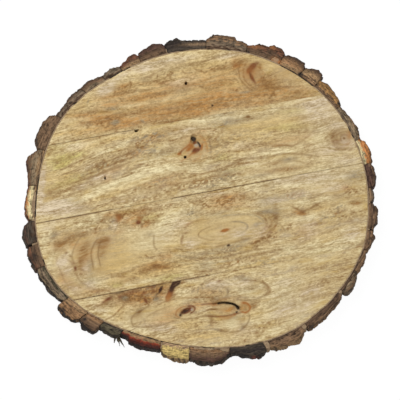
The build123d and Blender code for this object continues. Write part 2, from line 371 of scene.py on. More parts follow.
PLANK_1_MARKS = (
    # Broad tones
    *patches(
        Tone.ORANGE, (150, 115, 62, 7, 52), (104, 119, 18, 6, 62, 4), (135, 123, 46, 3, 45),
        (195, 106, 36, 8, 66), (208, 98, 30, 6, 42), (160, 94, 24, 5, 42), (110, 96, 18, 4, 40),
        (122, 88, 9, 4.5, 46, 20), (84, 116, 16, 3.5, 42, 4), (218, 84, 18, 5, 44, 28), (245, 97, 26, 5, 46),
        (285, 92, 32, 5, 48, 6), (158, 82, 20, 2.6, 42, 4), (238, 66, 6, 6, 44, 0), (266, 82, 12, 7, 46, -10),
        (290, 72, 20, 9, 20, -30), (180, 86, 26, 3, 38, 4), (232, 90, 8, 1.6, 50), (200, 112, 22, 3, 40),
        (300, 97, 14, 2, 40, 4), (205, 78, 34, 10, 30), (138, 97, 16, 6, 40), (264, 103, 24, 4, 40),
        (250, 90, 34, 12, 20), (236, 64, 6, 6, 50), (268, 84, 12, 6, 45), (262, 72, 2, 8, 30),
        (111, 104, 16, 5, 45), (147, 108, 14, 4, 35), (214, 108, 14, 4, 35),
    ),
    *patches(
        Tone.BROWN, (140, 112, 50, 4, 25, 6, 1, 2.4), (108, 122, 24, 4, 50, 4, 1, 2.2),
        (165, 120, 30, 3, 35, 8, 1, 2.2), (200, 108, 30, 6, 20, 11, 1, 2.4), (152, 96, 20, 3, 35, 10, 1, 2.2),
        (115, 92, 16, 4, 35, 8, 1, 2), (122, 88, 10, 4, 40, 20, 1, 1.8), (165, 74, 26, 4, 42, 6, 1, 2.2),
        (205, 70, 24, 3, 36, 12, 1, 2.2), (236, 66, 7, 6, 40, 0, 1, 1.8), (270, 88, 14, 5, 42, 2),
        (275, 94, 30, 3, 42, 6, 1, 2.4), (222, 99, 30, 5, 34, 10, 1, 2.6), (160, 82, 20, 3, 34, 4, 1, 2.4),
        (203, 87, 5, 2, 40, -30), (236, 90, 8, 1.8, 45, 6, 1, 1.6), (268, 82, 8, 3, 34),
        (106, 131, 1.5, 1.1, 60), (240, 103, 24, 3, 30, 9, 1, 2), (260, 66, 6, 5, 35), (177, 122, 20, 3, 60),
        (292, 101, 20, 3, 42), (253, 71, 8, 8, 22), (116, 108, 10, 4, 22),
    ),
    *patches(
        Tone.CREAM, (152, 67, 15, 4, 50, 18), (128, 76, 15, 4.5, 46, 24), (185, 55, 30, 5, 42, 4),
        (215, 56, 26, 2.4, 55, 20), (92, 106, 15, 4, 34, 15), (70, 129, 18, 2.2, 40),
        (228, 106, 4.5, 2.8, 55, 20), (224, 92, 1.6, 1.2, 85, 0, 1.4), (318, 101, 9, 3.2, 65, -18),
        (66, 136, 11, 4, 40, 20), (180, 79, 20, 2, 34, 0), (100, 82, 7, 3, 40, 38), (190, 65, 30, 2, 35),
        (242, 80, 8, 3, 30, -20), (193, 104, 14, 4, 35), (227, 66, 16, 4, 40, 14), (192, 104, 12, 3, 25),
    ),
    *patches(
        Tone.PINK, (108, 87, 8, 4.5, 95, 28, 1.3), (102, 91, 7, 3, 55, 20), (178, 58, 24, 3, 40, 6),
        (120, 77, 9, 3, 50, 24), (143, 67, 14, 5, 75), (229, 55, 14, 3, 60), (165, 65, 12, 4, 30),
        (180, 81, 14, 4, 30),
    ),
    *patches(
        Tone.GOLD, (80, 108, 16, 5, 34, 14), (78, 131, 40, 2.6, 50), (236, 84, 9, 4, 50),
        (200, 92, 30, 5, 30), (190, 72, 110, 24, 40), (177, 106, 24, 6, 60),
    ),
    *patches(
        Tone.GREY, (112, 109, 6, 1.3, 70, 4), (115, 122.5, 5, 2.2, 80, 10, 1.3),
        (143, 121.5, 3.4, 1.4, 70, -40), (168, 71, 24, 4, 20), (245, 92, 7, 1.4, 55), (160, 62, 20, 2, 40),
        (87.5, 101.5, 1, 2.4, 60, -20), (146, 80, 8, 3, 30, 0), (175, 108, 12, 2, 30), (183, 90, 12, 5, 30),
    ),
    # Knot with its dark comma and the rings beside it
    *patches(Tone.AMBER, (248, 73, 6, 10, 30), (236, 65, 3, 3, 30), (252, 70.5, 7.5, 6, 35, 20)),
    *patches(
        Tone.HEART, (252.5, 65.5, 5.5, 3.6, 85, 30, 1.6), (250.2, 70, 3.4, 3.4, 80, 0, 1.6),
        (252.4, 77.5, 6.5, 1.8, 80, -64, 1.5), (257, 62.8, 3, 1.6, 60, 20), (235.5, 65, 1.6, 1.4, 35),
    ),
    # Dark knot spots; the one at 186, 82.5 is painted shade in a pin hole
    *patches(
        Tone.UMBER, (250.6, 74.5, 0.9, 3, 40), (212, 105, 1.3, 1.1, 85, 0, 1.6),
        (186, 82.5, 1.1, 1.2, 80, 0, 1.8),
    ),
    *strokes(
        Tone.BROWN, (42, 1.1, 247, 61, 243.5, 68, 244, 76, 248, 84, 256, 89),
        (40, 1.1, 241, 60, 238.5, 68, 240, 77, 245, 85, 253, 91),
        (46, 1.3, 263, 75, 266, 81, 272, 84.5, 278, 82), (34, 1.2, 262, 62, 260, 70, 262, 79, 267, 87),
        (42, 1, 129, 79, 130.5, 85, 128.5, 91, 122, 94.5),
        (40, 1.1, 160, 83, 172, 85, 188, 85, 202, 81, 216, 76, 228, 73),
        (34, 1, 178, 74, 198, 71.5, 216, 69, 230, 65), (40, 0.9, 183, 66, 200, 62, 216, 57, 232, 52),
        (40, 1.2, 262, 89, 282, 87, 304, 85.5), (34, 1.1, 280, 96, 298, 97, 312, 98),
        (32, 1, 84, 113, 96, 112, 112, 112), (36, 1, 78, 123, 100, 122, 126, 122),
        (36, 1, 140, 117, 165, 114, 190, 110), (36, 1, 150, 124, 176, 121, 205, 114),
        (34, 1, 120, 115, 146, 112, 172, 108),
    ),
    *strokes(
        Tone.CREAM, (50, 1.1, 86, 105, 100, 101.5, 115, 100, 126, 96.5, 138, 90, 146, 88),
        (46, 1.2, 118, 107, 142, 104, 166, 100, 188, 97), (40, 1.1, 186, 63, 206, 58, 228, 52),
        (34, 1.1, 176, 68.5, 196, 66, 214, 62), (34, 1.1, 132, 94, 150, 88, 168, 86),
        (40, 1, 156, 108, 176, 104, 198, 100), (36, 1, 82, 127.5, 108, 126, 132, 127),
    ),
)

PLANK_2_MARKS = (
    *patches(
        Tone.YELLOW, (62, 163, 8, 4, 95, 30), (72, 157, 12, 4, 65, 20), (56, 160, 12, 6, 40, 20),
        (56, 147, 12, 5, 36, 20), (296, 111, 16, 3, 30, 4), (290, 127, 24, 4, 36, 4), (222, 158, 10, 4, 40),
        (240, 168, 14, 2, 34), (68, 182, 22, 5, 40, 24),
    ),
    *patches(
        Tone.GOLD, (66, 178, 17, 7, 62, 22), (82, 148, 32, 5, 32, 18), (152, 133, 24, 5, 32),
        (250, 134, 36, 8, 36), (272, 122, 36, 7, 36, 6), (104, 196, 36, 4, 30, 24), (230, 150, 24, 6, 34),
        (320, 152, 10, 8, 20), (120, 138, 26, 3, 30, 16), (300, 168, 30, 4, 25), (307, 124, 14, 4, 35),
    ),
    *patches(
        Tone.CREAM, (104, 190, 20, 4.2, 78, 28), (132, 178, 22, 4.6, 85, 24), (163, 168.5, 22, 4.4, 80),
        (190, 168, 14, 3.2, 75), (88, 198, 14, 4, 55, 32), (134, 200, 9, 1.6, 50, 28),
        (74, 145, 7, 2.4, 75, 16), (192, 131, 14, 4, 55, 6), (215, 117, 22, 3, 70), (262, 113, 40, 2, 40),
        (242, 116, 4, 2.4, 60), (322, 130, 8, 12, 50), (318, 143, 6, 6, 50), (156, 156, 12, 4, 45, 14),
        (118, 146, 22, 2.6, 45, 24), (160, 190, 34, 2, 36, 14), (215, 187, 34, 1.6, 60),
        (275, 152, 30, 2, 40, 6), (335, 166, 20, 4, 35), (56, 136, 12, 5, 35, 16), (285, 174, 24, 1.8, 50),
        (104, 154, 18, 1.8, 45, 24), (275, 151, 22, 5, 55, 6), (318, 170, 26, 8, 60),
        (66, 150, 14, 5, 50, 20), (60, 184, 9, 5, 70, 20), (326, 149, 14, 6, 40), (311, 127, 14, 4, 40),
        (65, 175, 10, 5, 40, 20), (228, 182, 14, 4, 40), (322, 160, 14, 5, 40), (196, 163, 12, 3, 35),
        (66, 177, 10, 4, 30, 20),
    ),
    *patches(
        Tone.PINK, (42, 184, 3.6, 20, 90, -6, 1.5), (48, 209, 14, 6, 80, 6), (64, 210, 16, 5, 62),
        (60, 204, 12, 4, 60, 6), (101, 178, 10, 3.4, 60, 24), (318, 103, 16, 5, 80, 2),
        (320, 111, 14, 5, 50, 0), (324, 99.5, 6, 2.2, 70), (58, 140, 8, 6, 40), (82, 186, 10, 2.4, 40, 24),
        (346, 160, 12, 5, 35, 6), (86, 168, 8, 2.4, 30, 24), (318, 118, 18, 12, 40, 0), (326, 150, 14, 7, 40),
        (338, 126, 8, 5, 40), (75, 147, 12, 4, 30), (185, 131, 12, 3, 40), (241, 147, 12, 4, 30),
        (249, 163, 12, 4, 30), (124, 200, 12, 3, 35),
    ),
    *patches(
        Tone.GREY, (100, 168, 26, 6, 25, 24, 1, 2.2), (146, 150, 16, 7, 42, 16, 1, 2),
        (150, 137, 18, 5, 50, 8, 1, 1.8), (222, 123, 8, 3.4, 60, 30, 1, 1.6), (165, 152, 20, 5, 30, 14),
        (205, 186, 26, 3, 42, 12, 1, 2), (214, 150, 10, 8, 28, 0, 1, 2), (225, 178, 12, 2.6, 60, 12, 1, 1.8),
        (290, 159.5, 8, 2.4, 55, 4), (312, 106, 14, 4, 45, 4, 1, 1.6), (60, 209, 14, 5, 40, 6, 1, 1.6),
        (158, 182, 26, 3, 34, 16, 1, 2.2), (94, 181, 14, 3, 34, 24, 1, 1.8), (232, 140, 20, 8, 24, 6, 1, 2.2),
        (228, 172, 14, 4, 34), (260, 176, 14, 2, 34), (238, 121, 26, 4, 40), (66, 203, 14, 5, 40),
        (78, 209, 12, 3, 30, 14), (226, 114, 12, 3, 30),
    ),
    *patches(
        Tone.BROWN, (50, 192, 7, 3, 50, 16), (58, 188, 9, 1.6, 35, 22), (54, 197, 10, 2, 42),
        (143, 147, 5, 3, 62), (147, 138, 14, 6, 50, 6, 1, 1.7), (140, 144, 14, 4, 45, 16, 1, 1.7),
        (100, 166, 30, 7, 38, 24, 1, 2), (128, 156, 12, 4, 50, 26, 1, 1.8), (210, 180, 26, 5, 40, 12, 1, 2),
        (185, 188, 26, 5, 40, 12, 1, 2), (222, 124, 8, 5, 40, 30, 1, 1.7), (216, 132, 7, 3, 50, 10, 1, 1.5),
        (280, 146, 12, 1.8, 50, 4), (276, 163, 8, 2, 46), (290, 170, 8, 2.4, 50, 0, 1, 1.8),
        (312, 162, 5, 4, 30, 20, 1, 1.6), (160, 142, 24, 4, 30, 14, 1, 2), (212, 140, 10, 10, 30, 0, 1, 1.8),
        (130, 192, 26, 3, 34, 22, 1, 2), (306, 148, 4, 4, 45, 30, 1, 1.6), (340, 176, 18, 5, 20, 8, 1, 2),
        (70, 158, 14, 5, 30, 24, 1, 1.8), (86, 204, 20, 4, 30, 16, 1, 2), (130, 203, 36, 4, 35, 14, 1, 2),
        (333.5, 138, 3.6, 8, 55, 10, 1.4), (78, 208, 14, 3.5, 35, 14), (180, 129, 16, 3, 30),
        (277, 170, 16, 3, 35), (150, 192, 14, 4, 30, 14), (167, 197, 16, 2.5, 25), (293, 170, 12, 3, 28),
        (252, 171, 12, 3, 22), (168, 129, 14, 3, 30), (224, 112, 14, 3, 22),
    ),
    *patches(
        Tone.ORANGE, (196, 146, 13, 12, 42), (290, 140, 20, 3, 36, 14), (106, 178, 4, 3.4, 40),
        (160, 180, 18, 2, 34, 18), (135, 153, 10, 5, 30), (167, 183, 14, 4, 30), (111, 171, 14, 4, 30, 24),
        (153, 138, 12, 4, 30), (200, 132, 10, 3, 30),
    ),
    # Dead knot with its hollow, its tail and the rings on its right
    *patches(
        Tone.HEART, (148, 172, 1.4, 1.1, 35), (105, 176, 1.4, 1.6, 30), (195.5, 150.5, 3.8, 3, 100, 30, 2),
        (194.5, 142, 2.2, 2.2, 75, 0, 1.8), (199, 148, 1.8, 3.4, 60, -10, 1.6),
    ),
    *patches(
        Tone.AMBER, (201, 147, 1, 3.2, 85, 0, 1.6), (179.5, 153.5, 2.4, 1.4, 95, 24, 1.6),
        (193, 153.5, 3.4, 1.2, 60, 20), (190, 142, 1.2, 2.4, 50, -20), (189, 149, 3.6, 2, 80, 40, 1.6),
        (191.5, 145.5, 3, 3, 70, 30, 1.6),
    ),
    *patches(Tone.GOLD, (185, 153, 4.2, 2, 60, 40, 1.4)),
    # Painted shade in the knot's hollow and in the small holes near it
    *patches(
        Tone.HOLE_SHADE, (185.3, 157, 1.3, 1.3, 90, 0, 2), (136.4, 130.4, 1.5, 1.1, 90, 20, 2),
        (193.2, 138.4, 2.7, 2.6, 100, 0, 2.4), (198.5, 144, 3.6, 1.1, 90, -62, 2),
    ),
    # Painted highlight: a grey glint in the knot's hollow
    *patches(Tone.STONE, (196.2, 145, 1.9, 1.6, 85, 20, 1.8)),
    # Dark spots; the one at 105.2, 178 is painted shade in a pin hole
    *patches(
        Tone.UMBER, (105.2, 178, 0.7, 1.6, 60, 0, 1.6), (138, 126.8, 0.9, 1.6, 55, -16),
        (181, 152, 2.4, 0.8, 35, 40),
    ),
    *patches(
        Tone.LINE, (248, 116.5, 2.4, 1.5, 95, 0, 1.3), (252, 118.5, 2, 1.2, 60), (154, 147, 1.4, 1.2, 50),
        (162, 150, 1.2, 1, 40),
    ),
    *strokes(
        Tone.AMBER, (60, 1, 191, 143.5, 186, 147.5, 181, 151.5, 178, 154),
        (40, 1, 192, 154, 187, 158, 180, 161.5),
    ),
    *strokes(Tone.HEART, (34, 0.8, 190, 144.5, 186, 148, 181, 152)),
    *strokes(
        Tone.ORANGE, (50, 1.3, 199, 134, 204, 139.5, 207, 146, 208, 153),
        (36, 1.3, 201, 152, 199, 158, 192, 162),
    ),
    *strokes(
        Tone.CREAM, (85, 1.5, 208, 151, 208.5, 158, 205, 163.5, 198, 167, 188, 169),
        (50, 1.3, 203, 146, 204, 153, 201, 159), (45, 1.2, 186, 130, 198, 128, 208, 131, 214, 137),
    ),
    *strokes(
        Tone.BROWN, (36, 1, 205, 133, 209.5, 140, 211, 148, 211, 156), (34, 1, 168, 145, 178, 141, 187, 136),
        (36, 1, 240, 148.5, 250, 147, 264, 144, 282, 145, 292, 146, 301, 141, 313, 133),
        (36, 0.9, 302, 156, 301.5, 150, 306, 147, 314, 145),
        (50, 1, 176, 180, 198, 175, 216, 170.5, 234, 164), (44, 0.9, 186, 184, 206, 178, 224, 175, 234, 172),
        (40, 0.9, 168, 186, 182, 183, 196, 181, 214, 179), (34, 0.9, 164, 193, 186, 189, 204, 186),
        (34, 0.9, 244, 156, 262, 152, 286, 150), (32, 0.9, 258, 166, 276, 162, 296, 161, 314, 165),
        (34, 1, 116, 195, 132, 188, 152, 181, 172, 177), (34, 1, 80, 143, 96, 138, 114, 134),
    ),
    *strokes(
        Tone.LINE, (50, 0.8, 74, 172, 80, 169), (44, 0.8, 80, 173.5, 95, 167, 110, 160.5, 122, 155),
        (50, 0.8, 82, 177, 98, 170, 116, 162.5, 130, 157), (40, 0.8, 70, 183, 88, 178, 106, 170.5, 124, 163),
        (44, 0.8, 84, 181, 100, 174.5, 116, 168, 134, 161), (40, 0.8, 60, 170, 76, 163, 96, 154),
        (34, 0.8, 66, 174, 84, 165, 100, 157), (48, 0.8, 119, 157.5, 127, 154, 136, 150.5),
        (44, 0.8, 121, 162, 130, 158, 140, 153.5), (46, 0.8, 124, 174, 134, 169.5, 144, 163.5),
        (40, 0.8, 112, 180.5, 124, 177, 134, 172.5), (34, 0.8, 88, 188, 100, 184.5, 110, 180),
        (34, 0.8, 66, 190, 80, 184.5, 94, 180), (36, 0.8, 66, 196, 76, 192.5, 88, 189),
        (34, 0.8, 104, 206, 120, 198, 138, 191),
        (42, 1.2, 226, 166.5, 235, 163, 243, 159, 255, 158, 270, 157, 282, 154, 300, 154, 318, 157),
    ),
    # Round knot near the right edge
    *patches(Tone.BROWN, (340, 139, 13, 11, 38, 0, 2), (338, 149.5, 7, 1.8, 45), (351, 149.5, 3, 1.1, 45)),
    *patches(Tone.PINK, (347, 141, 8, 7, 40), (353, 145, 4, 3, 50)),
    *patches(Tone.AMBER, (350.5, 134.5, 3.2, 4.5, 45, -10), (348, 144, 4, 2, 20)),
    *rings(
        Tone.BROWN, (44, 0.9, 344.5, 138, 4.2, 3.6, 20, 340, 0), (44, 1, 344, 138.5, 8, 7, 60, 330, 0),
        (34, 1, 343.5, 139, 12, 10.5, 80, 300, 0),
    ),
    *patches(Tone.CREAM, (344.5, 138.4, 2.8, 2.2, 42), (338, 152.5, 8, 2, 40)),
    *patches(Tone.LINE, (344.2, 138, 1.5, 1.2, 100, 0, 1.8), (341, 140.5, 0.9, 0.8, 40)),
)

PLANK_3_MARKS = (
    # Pale zone with a torn edge, and the golden zones beside it
    *patches(
        Tone.CREAM, (166, 226, 12, 9, 80, 0, 1.5), (148, 242, 13, 10, 62, 0, 1.4), (128, 229, 10, 4, 62),
        (97, 216, 10, 4, 50, 26), (43, 245, 3.4, 16, 65, -18), (50, 259, 3.4, 14, 55, -28),
        (95, 280, 14, 5, 42, -10), (78, 281, 6, 6, 45, -40), (68, 251, 2.6, 6, 55, 0),
        (128, 284, 3.4, 3.2, 40), (196, 206, 14, 3, 40), (155, 207, 16, 2.6, 42), (291, 249, 8, 2.6, 80),
        (285, 247, 10, 2, 40, 20), (338, 267, 9, 4, 50), (342, 195, 10, 3, 50, 16), (305, 203, 10, 4, 55, 6),
        (308, 218, 12, 3, 62, 18), (316, 241, 6, 3, 55), (326, 198, 8, 3, 45), (350, 236, 10, 4, 40),
        (238, 234, 8, 3, 50, 30), (112, 208, 12, 1.4, 30), (212, 262, 10, 2, 30), (150, 281, 22, 1.6, 34),
        (98, 226, 10, 5, 40, 20), (165, 238, 10, 6, 50, 0), (176, 212, 14, 8, 20, 16, 1.5),
        (134, 252, 10, 8, 40, 0), (332, 252, 24, 7, 50), (100, 286, 8, 4, 20, -10), (90, 223, 16, 5, 90, 16),
        (322, 177, 28, 5, 90), (343, 245, 18, 5, 50), (316, 249, 16, 4, 50), (268, 184, 26, 3.5, 85),
        (175, 261, 14, 4, 65), (280, 249, 10, 3, 50), (300, 184, 40, 3, 40), (347, 240, 12, 8, 45),
        (254, 196, 12, 3, 40), (194, 199, 14, 3, 40), (319, 176, 18, 4, 40), (92, 226, 14, 6, 45, 14),
        (173, 263, 12, 3, 35), (346, 247, 12, 3, 35),
    ),
    *patches(
        Tone.GOLD, (118, 254, 19, 15, 50), (110, 268, 14, 6, 55), (145, 274, 36, 5, 62),
        (176, 262, 22, 7, 50), (224, 231, 40, 12, 40), (196, 222, 14, 4, 50, 20), (330, 262, 20, 8, 46, 14),
        (318, 235, 16, 6, 30), (170, 247, 12, 9, 15, 0), (320, 208, 12, 4, 40), (140, 257, 16, 6, 40),
        (70, 234, 12, 4, 30, 24), (147, 267, 12, 4, 45),
    ),
    *patches(
        Tone.YELLOW, (117, 284.5, 6, 3.2, 50, 8, 1.4), (170, 277, 14, 3, 50), (322, 258, 12, 6, 40),
        (150, 218, 12, 4, 36),
    ),
    *patches(
        Tone.PINK, (62, 261, 4.6, 8, 60, -26, 1.3), (68, 270, 5, 7, 50, -40), (72, 288, 10, 5, 46, -36),
        (90, 285, 8, 4, 40, -20), (86, 268, 4, 7, 42, 0), (190, 243, 8, 5, 50), (258, 227, 8, 4, 40, 20),
        (303, 238, 8, 3, 40), (274, 201, 12, 3, 42, 4), (300, 195, 12, 4, 34, 4), (115, 225, 4, 4, 42),
        (48, 228, 8, 3, 30), (54, 218, 16, 6, 40), (322, 178, 26, 6, 40), (309, 223, 12, 4, 40),
        (241, 232, 10, 5, 60), (352, 234, 10, 6, 60), (180, 223, 10, 4, 35), (332, 188, 14, 5, 40),
        (304, 178, 16, 4, 50), (228, 233, 14, 5, 30), (312, 231, 10, 5, 40), (166, 236, 10, 5, 35),
        (215, 193, 12, 3, 40), (260, 233, 10, 4, 40), (180, 225, 12, 4, 35), (278, 182, 12, 3, 35),
    ),
    # Speckled brown bands
    *patches(
        Tone.ORANGE, (118, 217, 6, 5, 55, 50), (108, 215, 5, 3, 55, 20), (134, 217, 9, 4, 42, 40),
        (135, 224, 5, 3, 50, 20), (147, 224, 5, 2.4, 55, 30), (98, 231, 8, 4, 30, 40), (118, 232, 8, 3, 30),
        (228, 197, 20, 4, 50, 6), (225, 205, 20, 5, 36, 6), (84, 262, 5, 9, 42, -6), (104, 243, 6, 5, 45),
        (162, 266, 10, 4, 52), (165, 257, 8, 4, 40, 30), (300, 213, 7, 2.2, 75, -8, 1.3),
        (74, 244, 8, 5, 42, 30), (60, 244, 8, 5, 34, 30), (70, 284, 12, 5, 40, -40),
        (88, 289, 12, 3, 25, -14), (262, 238, 16, 5, 30, 22), (345, 188, 4, 3, 55), (62, 279, 5, 7, 30, -30),
        (140, 212, 16, 3, 40, 16), (100, 291, 14, 2, 30, 6), (305, 232, 10, 4, 30), (88, 252, 14, 12, 35),
        (151, 267, 12, 4, 50), (104, 242, 6, 5, 35), (83, 264, 5, 8, 40, 0),
    ),
    *patches(
        Tone.BROWN, (118, 217, 4.4, 3.6, 80, 60, 1.3), (139, 218, 2.6, 5, 55),
        (125, 216, 24, 6, 50, 16, 1, 1.6), (148, 218, 16, 6, 62, 24, 1, 1.5),
        (100, 227, 12, 7, 30, 40, 1, 1.5), (118, 228, 14, 5, 15, 10, 1, 1.6), (103, 220, 2.4, 1.4, 75, 40),
        (96, 229, 2, 1.6, 60, 40), (96, 232.5, 1.6, 1.4, 50), (72, 238, 11, 5, 45, 24),
        (62, 245, 8, 5, 50, 36), (58, 249, 5, 2, 40, 30), (84, 234, 7, 2.2, 52, 14), (70, 241, 2, 1.6, 50),
        (102, 242, 7, 3.4, 46, 20), (106, 240, 3, 5, 36), (85, 250, 4.5, 11, 55, -8),
        (80, 262, 3.4, 7, 70, -6), (225, 199, 22, 5, 60, 6, 1, 1.7), (205, 201, 14, 4, 50, 8, 1, 1.7),
        (225, 196.5, 3.4, 1.8, 62), (243, 196.5, 3, 1.8, 60), (228, 209, 3, 1.6, 50),
        (212, 207, 24, 4, 40, 8, 1, 1.7), (182.5, 240, 1.6, 6, 62, 2, 1.6), (186, 232.5, 4, 1, 45),
        (264, 239, 14, 5, 72, 24, 1, 1.5), (274, 217, 3.4, 8, 52, -18), (268, 226, 5, 5, 36),
        (155, 266, 5, 2.4, 80, 8, 1.3), (165, 262, 16, 4, 25, 10, 1, 1.7), (165, 270, 20, 3, 20, 8, 1, 1.8),
        (228, 250, 14, 5, 46, 12, 1, 1.6), (255, 255, 14, 2.4, 25, 12, 1, 1.8),
        (235, 262, 24, 4, 36, 12, 1, 1.8), (296, 195, 14, 4, 56, 6, 1, 1.7), (318, 224, 5, 1.6, 75, 6, 1.3),
        (303, 213, 3.6, 1.6, 55, -8), (356, 203, 8, 3.4, 62, 4, 1.4), (347, 188, 3, 3, 60, 0, 1, 1.4),
        (352, 192, 10, 5, 50, 0, 1, 1.7), (290, 226, 5, 4, 46, 40, 1, 1.5), (303, 238, 7, 3, 46, 0, 1, 1.5),
        (345, 218, 16, 2.4, 50, 0, 1, 1.8), (333, 210, 8, 4, 42, 10, 1, 1.6), (358, 248, 5, 3, 60, 30),
        (271, 275.5, 2.6, 1.4, 75, -20), (284, 272.5, 4, 1.2, 50), (275, 269, 8, 1.6, 50, 4),
        (295, 262, 20, 4, 30, 8, 1, 1.8), (338, 212, 8, 2, 30), (70, 256, 2.2, 1.4, 55, -20),
        (74, 265, 2.2, 4.6, 72, 26, 1.4), (72, 292, 10, 3, 35, -30, 1, 1.8),
        (92, 286, 10, 3, 35, -14, 1, 1.6), (118, 276, 8, 1.6, 45, -10), (50, 232, 9, 3, 25, 6, 1, 1.6),
        (255, 206, 10, 2.4, 40, 6, 1, 1.5), (200, 275, 14, 1.8, 50, 8, 1, 1.8),
        (166, 206, 10, 1.6, 40, 12, 1, 1.6), (248, 268, 22, 3, 30, 10, 1, 1.8),
        (78, 270, 9, 6, 45, -30, 1, 1.5), (348, 214, 14, 5, 35, 0, 1, 1.7), (78, 215, 14, 3, 35),
        (125, 281, 14, 4, 35), (79, 271, 8, 5, 35), (103, 252, 5, 10, 35, 0), (212, 277, 14, 3, 30),
        (273, 269, 14, 4, 65), (339, 195, 10, 4, 30), (97, 271, 10, 5, 22), (237, 259, 12, 3, 22),
    ),
    *patches(
        Tone.HEART, (119, 217, 2, 2.4, 50, 40), (138.5, 222.5, 2.6, 2.4, 85, 0, 1.5),
        (66, 252.8, 1.6, 1.2, 55), (75.5, 268.5, 1.4, 2.2, 70, 16, 1.4), (224.6, 230.2, 4, 1.2, 50, 16, 1.6),
        (226, 196.5, 2, 0.9, 40), (303, 212, 2.4, 0.9, 35), (156, 265, 2, 1.1, 30),
    ),
    *patches(
        Tone.AMBER, (224.7, 230.2, 4.8, 1.7, 90, 16, 1.8), (118, 218, 3, 3, 40), (139, 219, 1.6, 3, 40),
        (188, 224, 4, 1.2, 30, 30),
    ),
    *patches(
        Tone.GREY, (114, 225, 3.4, 5, 60, 0, 1, 1.6), (113, 221, 3, 3, 50), (191, 213, 5, 4.4, 70, 0, 1, 1.5),
        (150, 234, 4, 2.4, 45), (54, 236, 4, 6, 45, 0), (90, 266, 3, 6, 40, -6), (92, 277, 4, 4, 36, -20),
        (258, 224, 6, 2.6, 60, 22), (266, 212, 9, 2.6, 60, 0), (232, 248, 10, 4, 42, 12, 1, 1.7),
        (190, 257, 12, 3, 20, 4), (222, 249, 20, 2, 40), (298, 196, 14, 4, 50, 6, 1, 1.8),
        (339, 207, 5, 4, 50, 20, 1, 1.6), (270, 200, 12, 4, 42, 4), (330, 218, 20, 5, 30, 6, 1, 1.8),
        (282, 230, 3, 2, 50, 0, 1, 1.4), (262, 262, 20, 3, 34, 10, 1, 1.8), (215, 277, 18, 1.8, 50, 4, 1, 2),
        (276, 212, 8, 6, 30), (244, 241, 10, 3, 40, 24), (86, 212, 20, 1.4, 30), (355, 176, 10, 6, 60),
        (269, 202, 12, 4, 35), (90, 284, 10, 4, 30), (214, 279, 14, 3, 35), (206, 266, 14, 4, 28),
        (214, 281, 12, 3, 25), (190, 213, 14, 4, 30), (217, 214, 14, 3, 30),
    ),
    *patches(
        Tone.LINE, (252, 243.5, 1.8, 1.4, 70), (258, 241.5, 2.4, 1.4, 85, 20), (263, 238.5, 2.4, 1.6, 85, 20),
        (269, 236, 1.8, 1.4, 60),
    ),
    *patches(Tone.UMBER, (228.6, 245.4, 2, 1.1, 90, 12, 1.6)),
    *strokes(
        Tone.LINE, (36, 0.9, 84, 234, 78, 241, 74, 249, 72, 257, 74, 263),
        (50, 0.9, 99, 238.5, 94, 244, 91.5, 252, 91.8, 260, 94, 270),
        (52, 0.9, 102, 240, 99.5, 246, 98.5, 253, 99, 260, 101, 267),
        (44, 0.9, 154.5, 234, 154, 241, 154.5, 247, 158, 250.5), (34, 0.8, 214, 248, 232, 243, 248, 239),
        (34, 0.8, 276, 222, 282, 226, 286, 232), (34, 0.8, 236, 200, 262, 198.5, 280, 199),
        (44, 0.8, 308, 198.5, 316, 196.5, 324, 193), (34, 0.8, 290, 195.5, 302, 194, 312, 194),
    ),
    *strokes(
        Tone.BROWN, (40, 1.2, 75, 270, 79, 279, 87, 285.5, 98, 289.5, 112, 291),
        (36, 1.1, 57, 254, 58, 264, 62.5, 276, 70, 288, 79, 297), (46, 1.2, 62, 257, 68, 260, 73, 263),
        (56, 1, 145, 254.5, 148.5, 257.5, 153.5, 258), (44, 1.1, 205, 218.5, 194, 221.5, 188, 225, 185, 230),
        (56, 1.5, 253, 213, 262, 215.5, 266, 221, 265, 228, 259, 233),
        (62, 1.6, 264, 210.5, 272, 213.5, 277, 219, 275, 227, 268, 233),
        (34, 1.4, 256, 211, 266, 214, 271, 221, 269, 229, 262, 235),
        (44, 1, 252, 238, 240, 240, 226, 244, 212, 248),
        (40, 1.1, 250, 257, 258, 254.5, 270, 251, 284, 248.5),
        (40, 1, 220, 259, 234, 255, 248, 251, 262, 249), (34, 1, 244, 262, 262, 258, 280, 253),
        (34, 1, 196, 272, 214, 270, 236, 264),
        (62, 1.1, 292, 206.5, 297, 209, 303, 210.5, 309, 209, 315, 205.5, 320, 203),
        (44, 1.1, 304, 226, 314, 224, 326, 222.5), (36, 0.9, 324, 222.5, 342, 221.5, 362, 223),
        (34, 0.9, 116, 273, 124, 276, 138, 277), (42, 1, 140, 271, 156, 268, 172, 268),
        (34, 1, 132, 268, 146, 264.5, 158, 261), (34, 0.9, 126, 215, 138, 211, 152, 208),
        (36, 0.9, 146, 222, 158, 217.5, 164, 213), (44, 0.8, 64, 241, 73, 236), (44, 0.8, 58, 247, 67, 240),
        (40, 0.8, 69, 246, 75, 239),
    ),
    *strokes(
        Tone.CREAM, (50, 1.3, 80, 238, 75.5, 246, 71, 252, 70, 259), (36, 1.2, 96, 241, 89.5, 248, 88, 258),
        (40, 1.1, 97.5, 243, 95, 250, 95, 260, 97, 268), (60, 1.3, 157, 232, 156.5, 240, 157, 246),
        (45, 1.4, 77, 268, 82, 278, 92, 284), (62, 1.2, 302, 247, 320, 244, 340, 241, 358, 238),
        (66, 1.2, 306, 253, 322, 250.5, 342, 247.5, 362, 244), (46, 1.1, 268, 259, 284, 254.5, 300, 250),
        (36, 1.2, 300, 222, 318, 217, 336, 214), (40, 1.2, 318, 236, 336, 231, 356, 229),
        (40, 1.1, 230, 212.5, 250, 211, 262, 208), (40, 1.1, 266, 245, 276, 242, 290, 238),
    ),
    # Long ovals round the middle of the plank
    *rings(
        Tone.BROWN, (46, 0.7, 223, 230.8, 25, 7.6, 110, 260, 11),
        (20, 0.7, 223, 230.8, 25, 7.6, -100, 110, 11), (16, 0.8, 222, 231, 16, 4.6, 0, 360, 11),
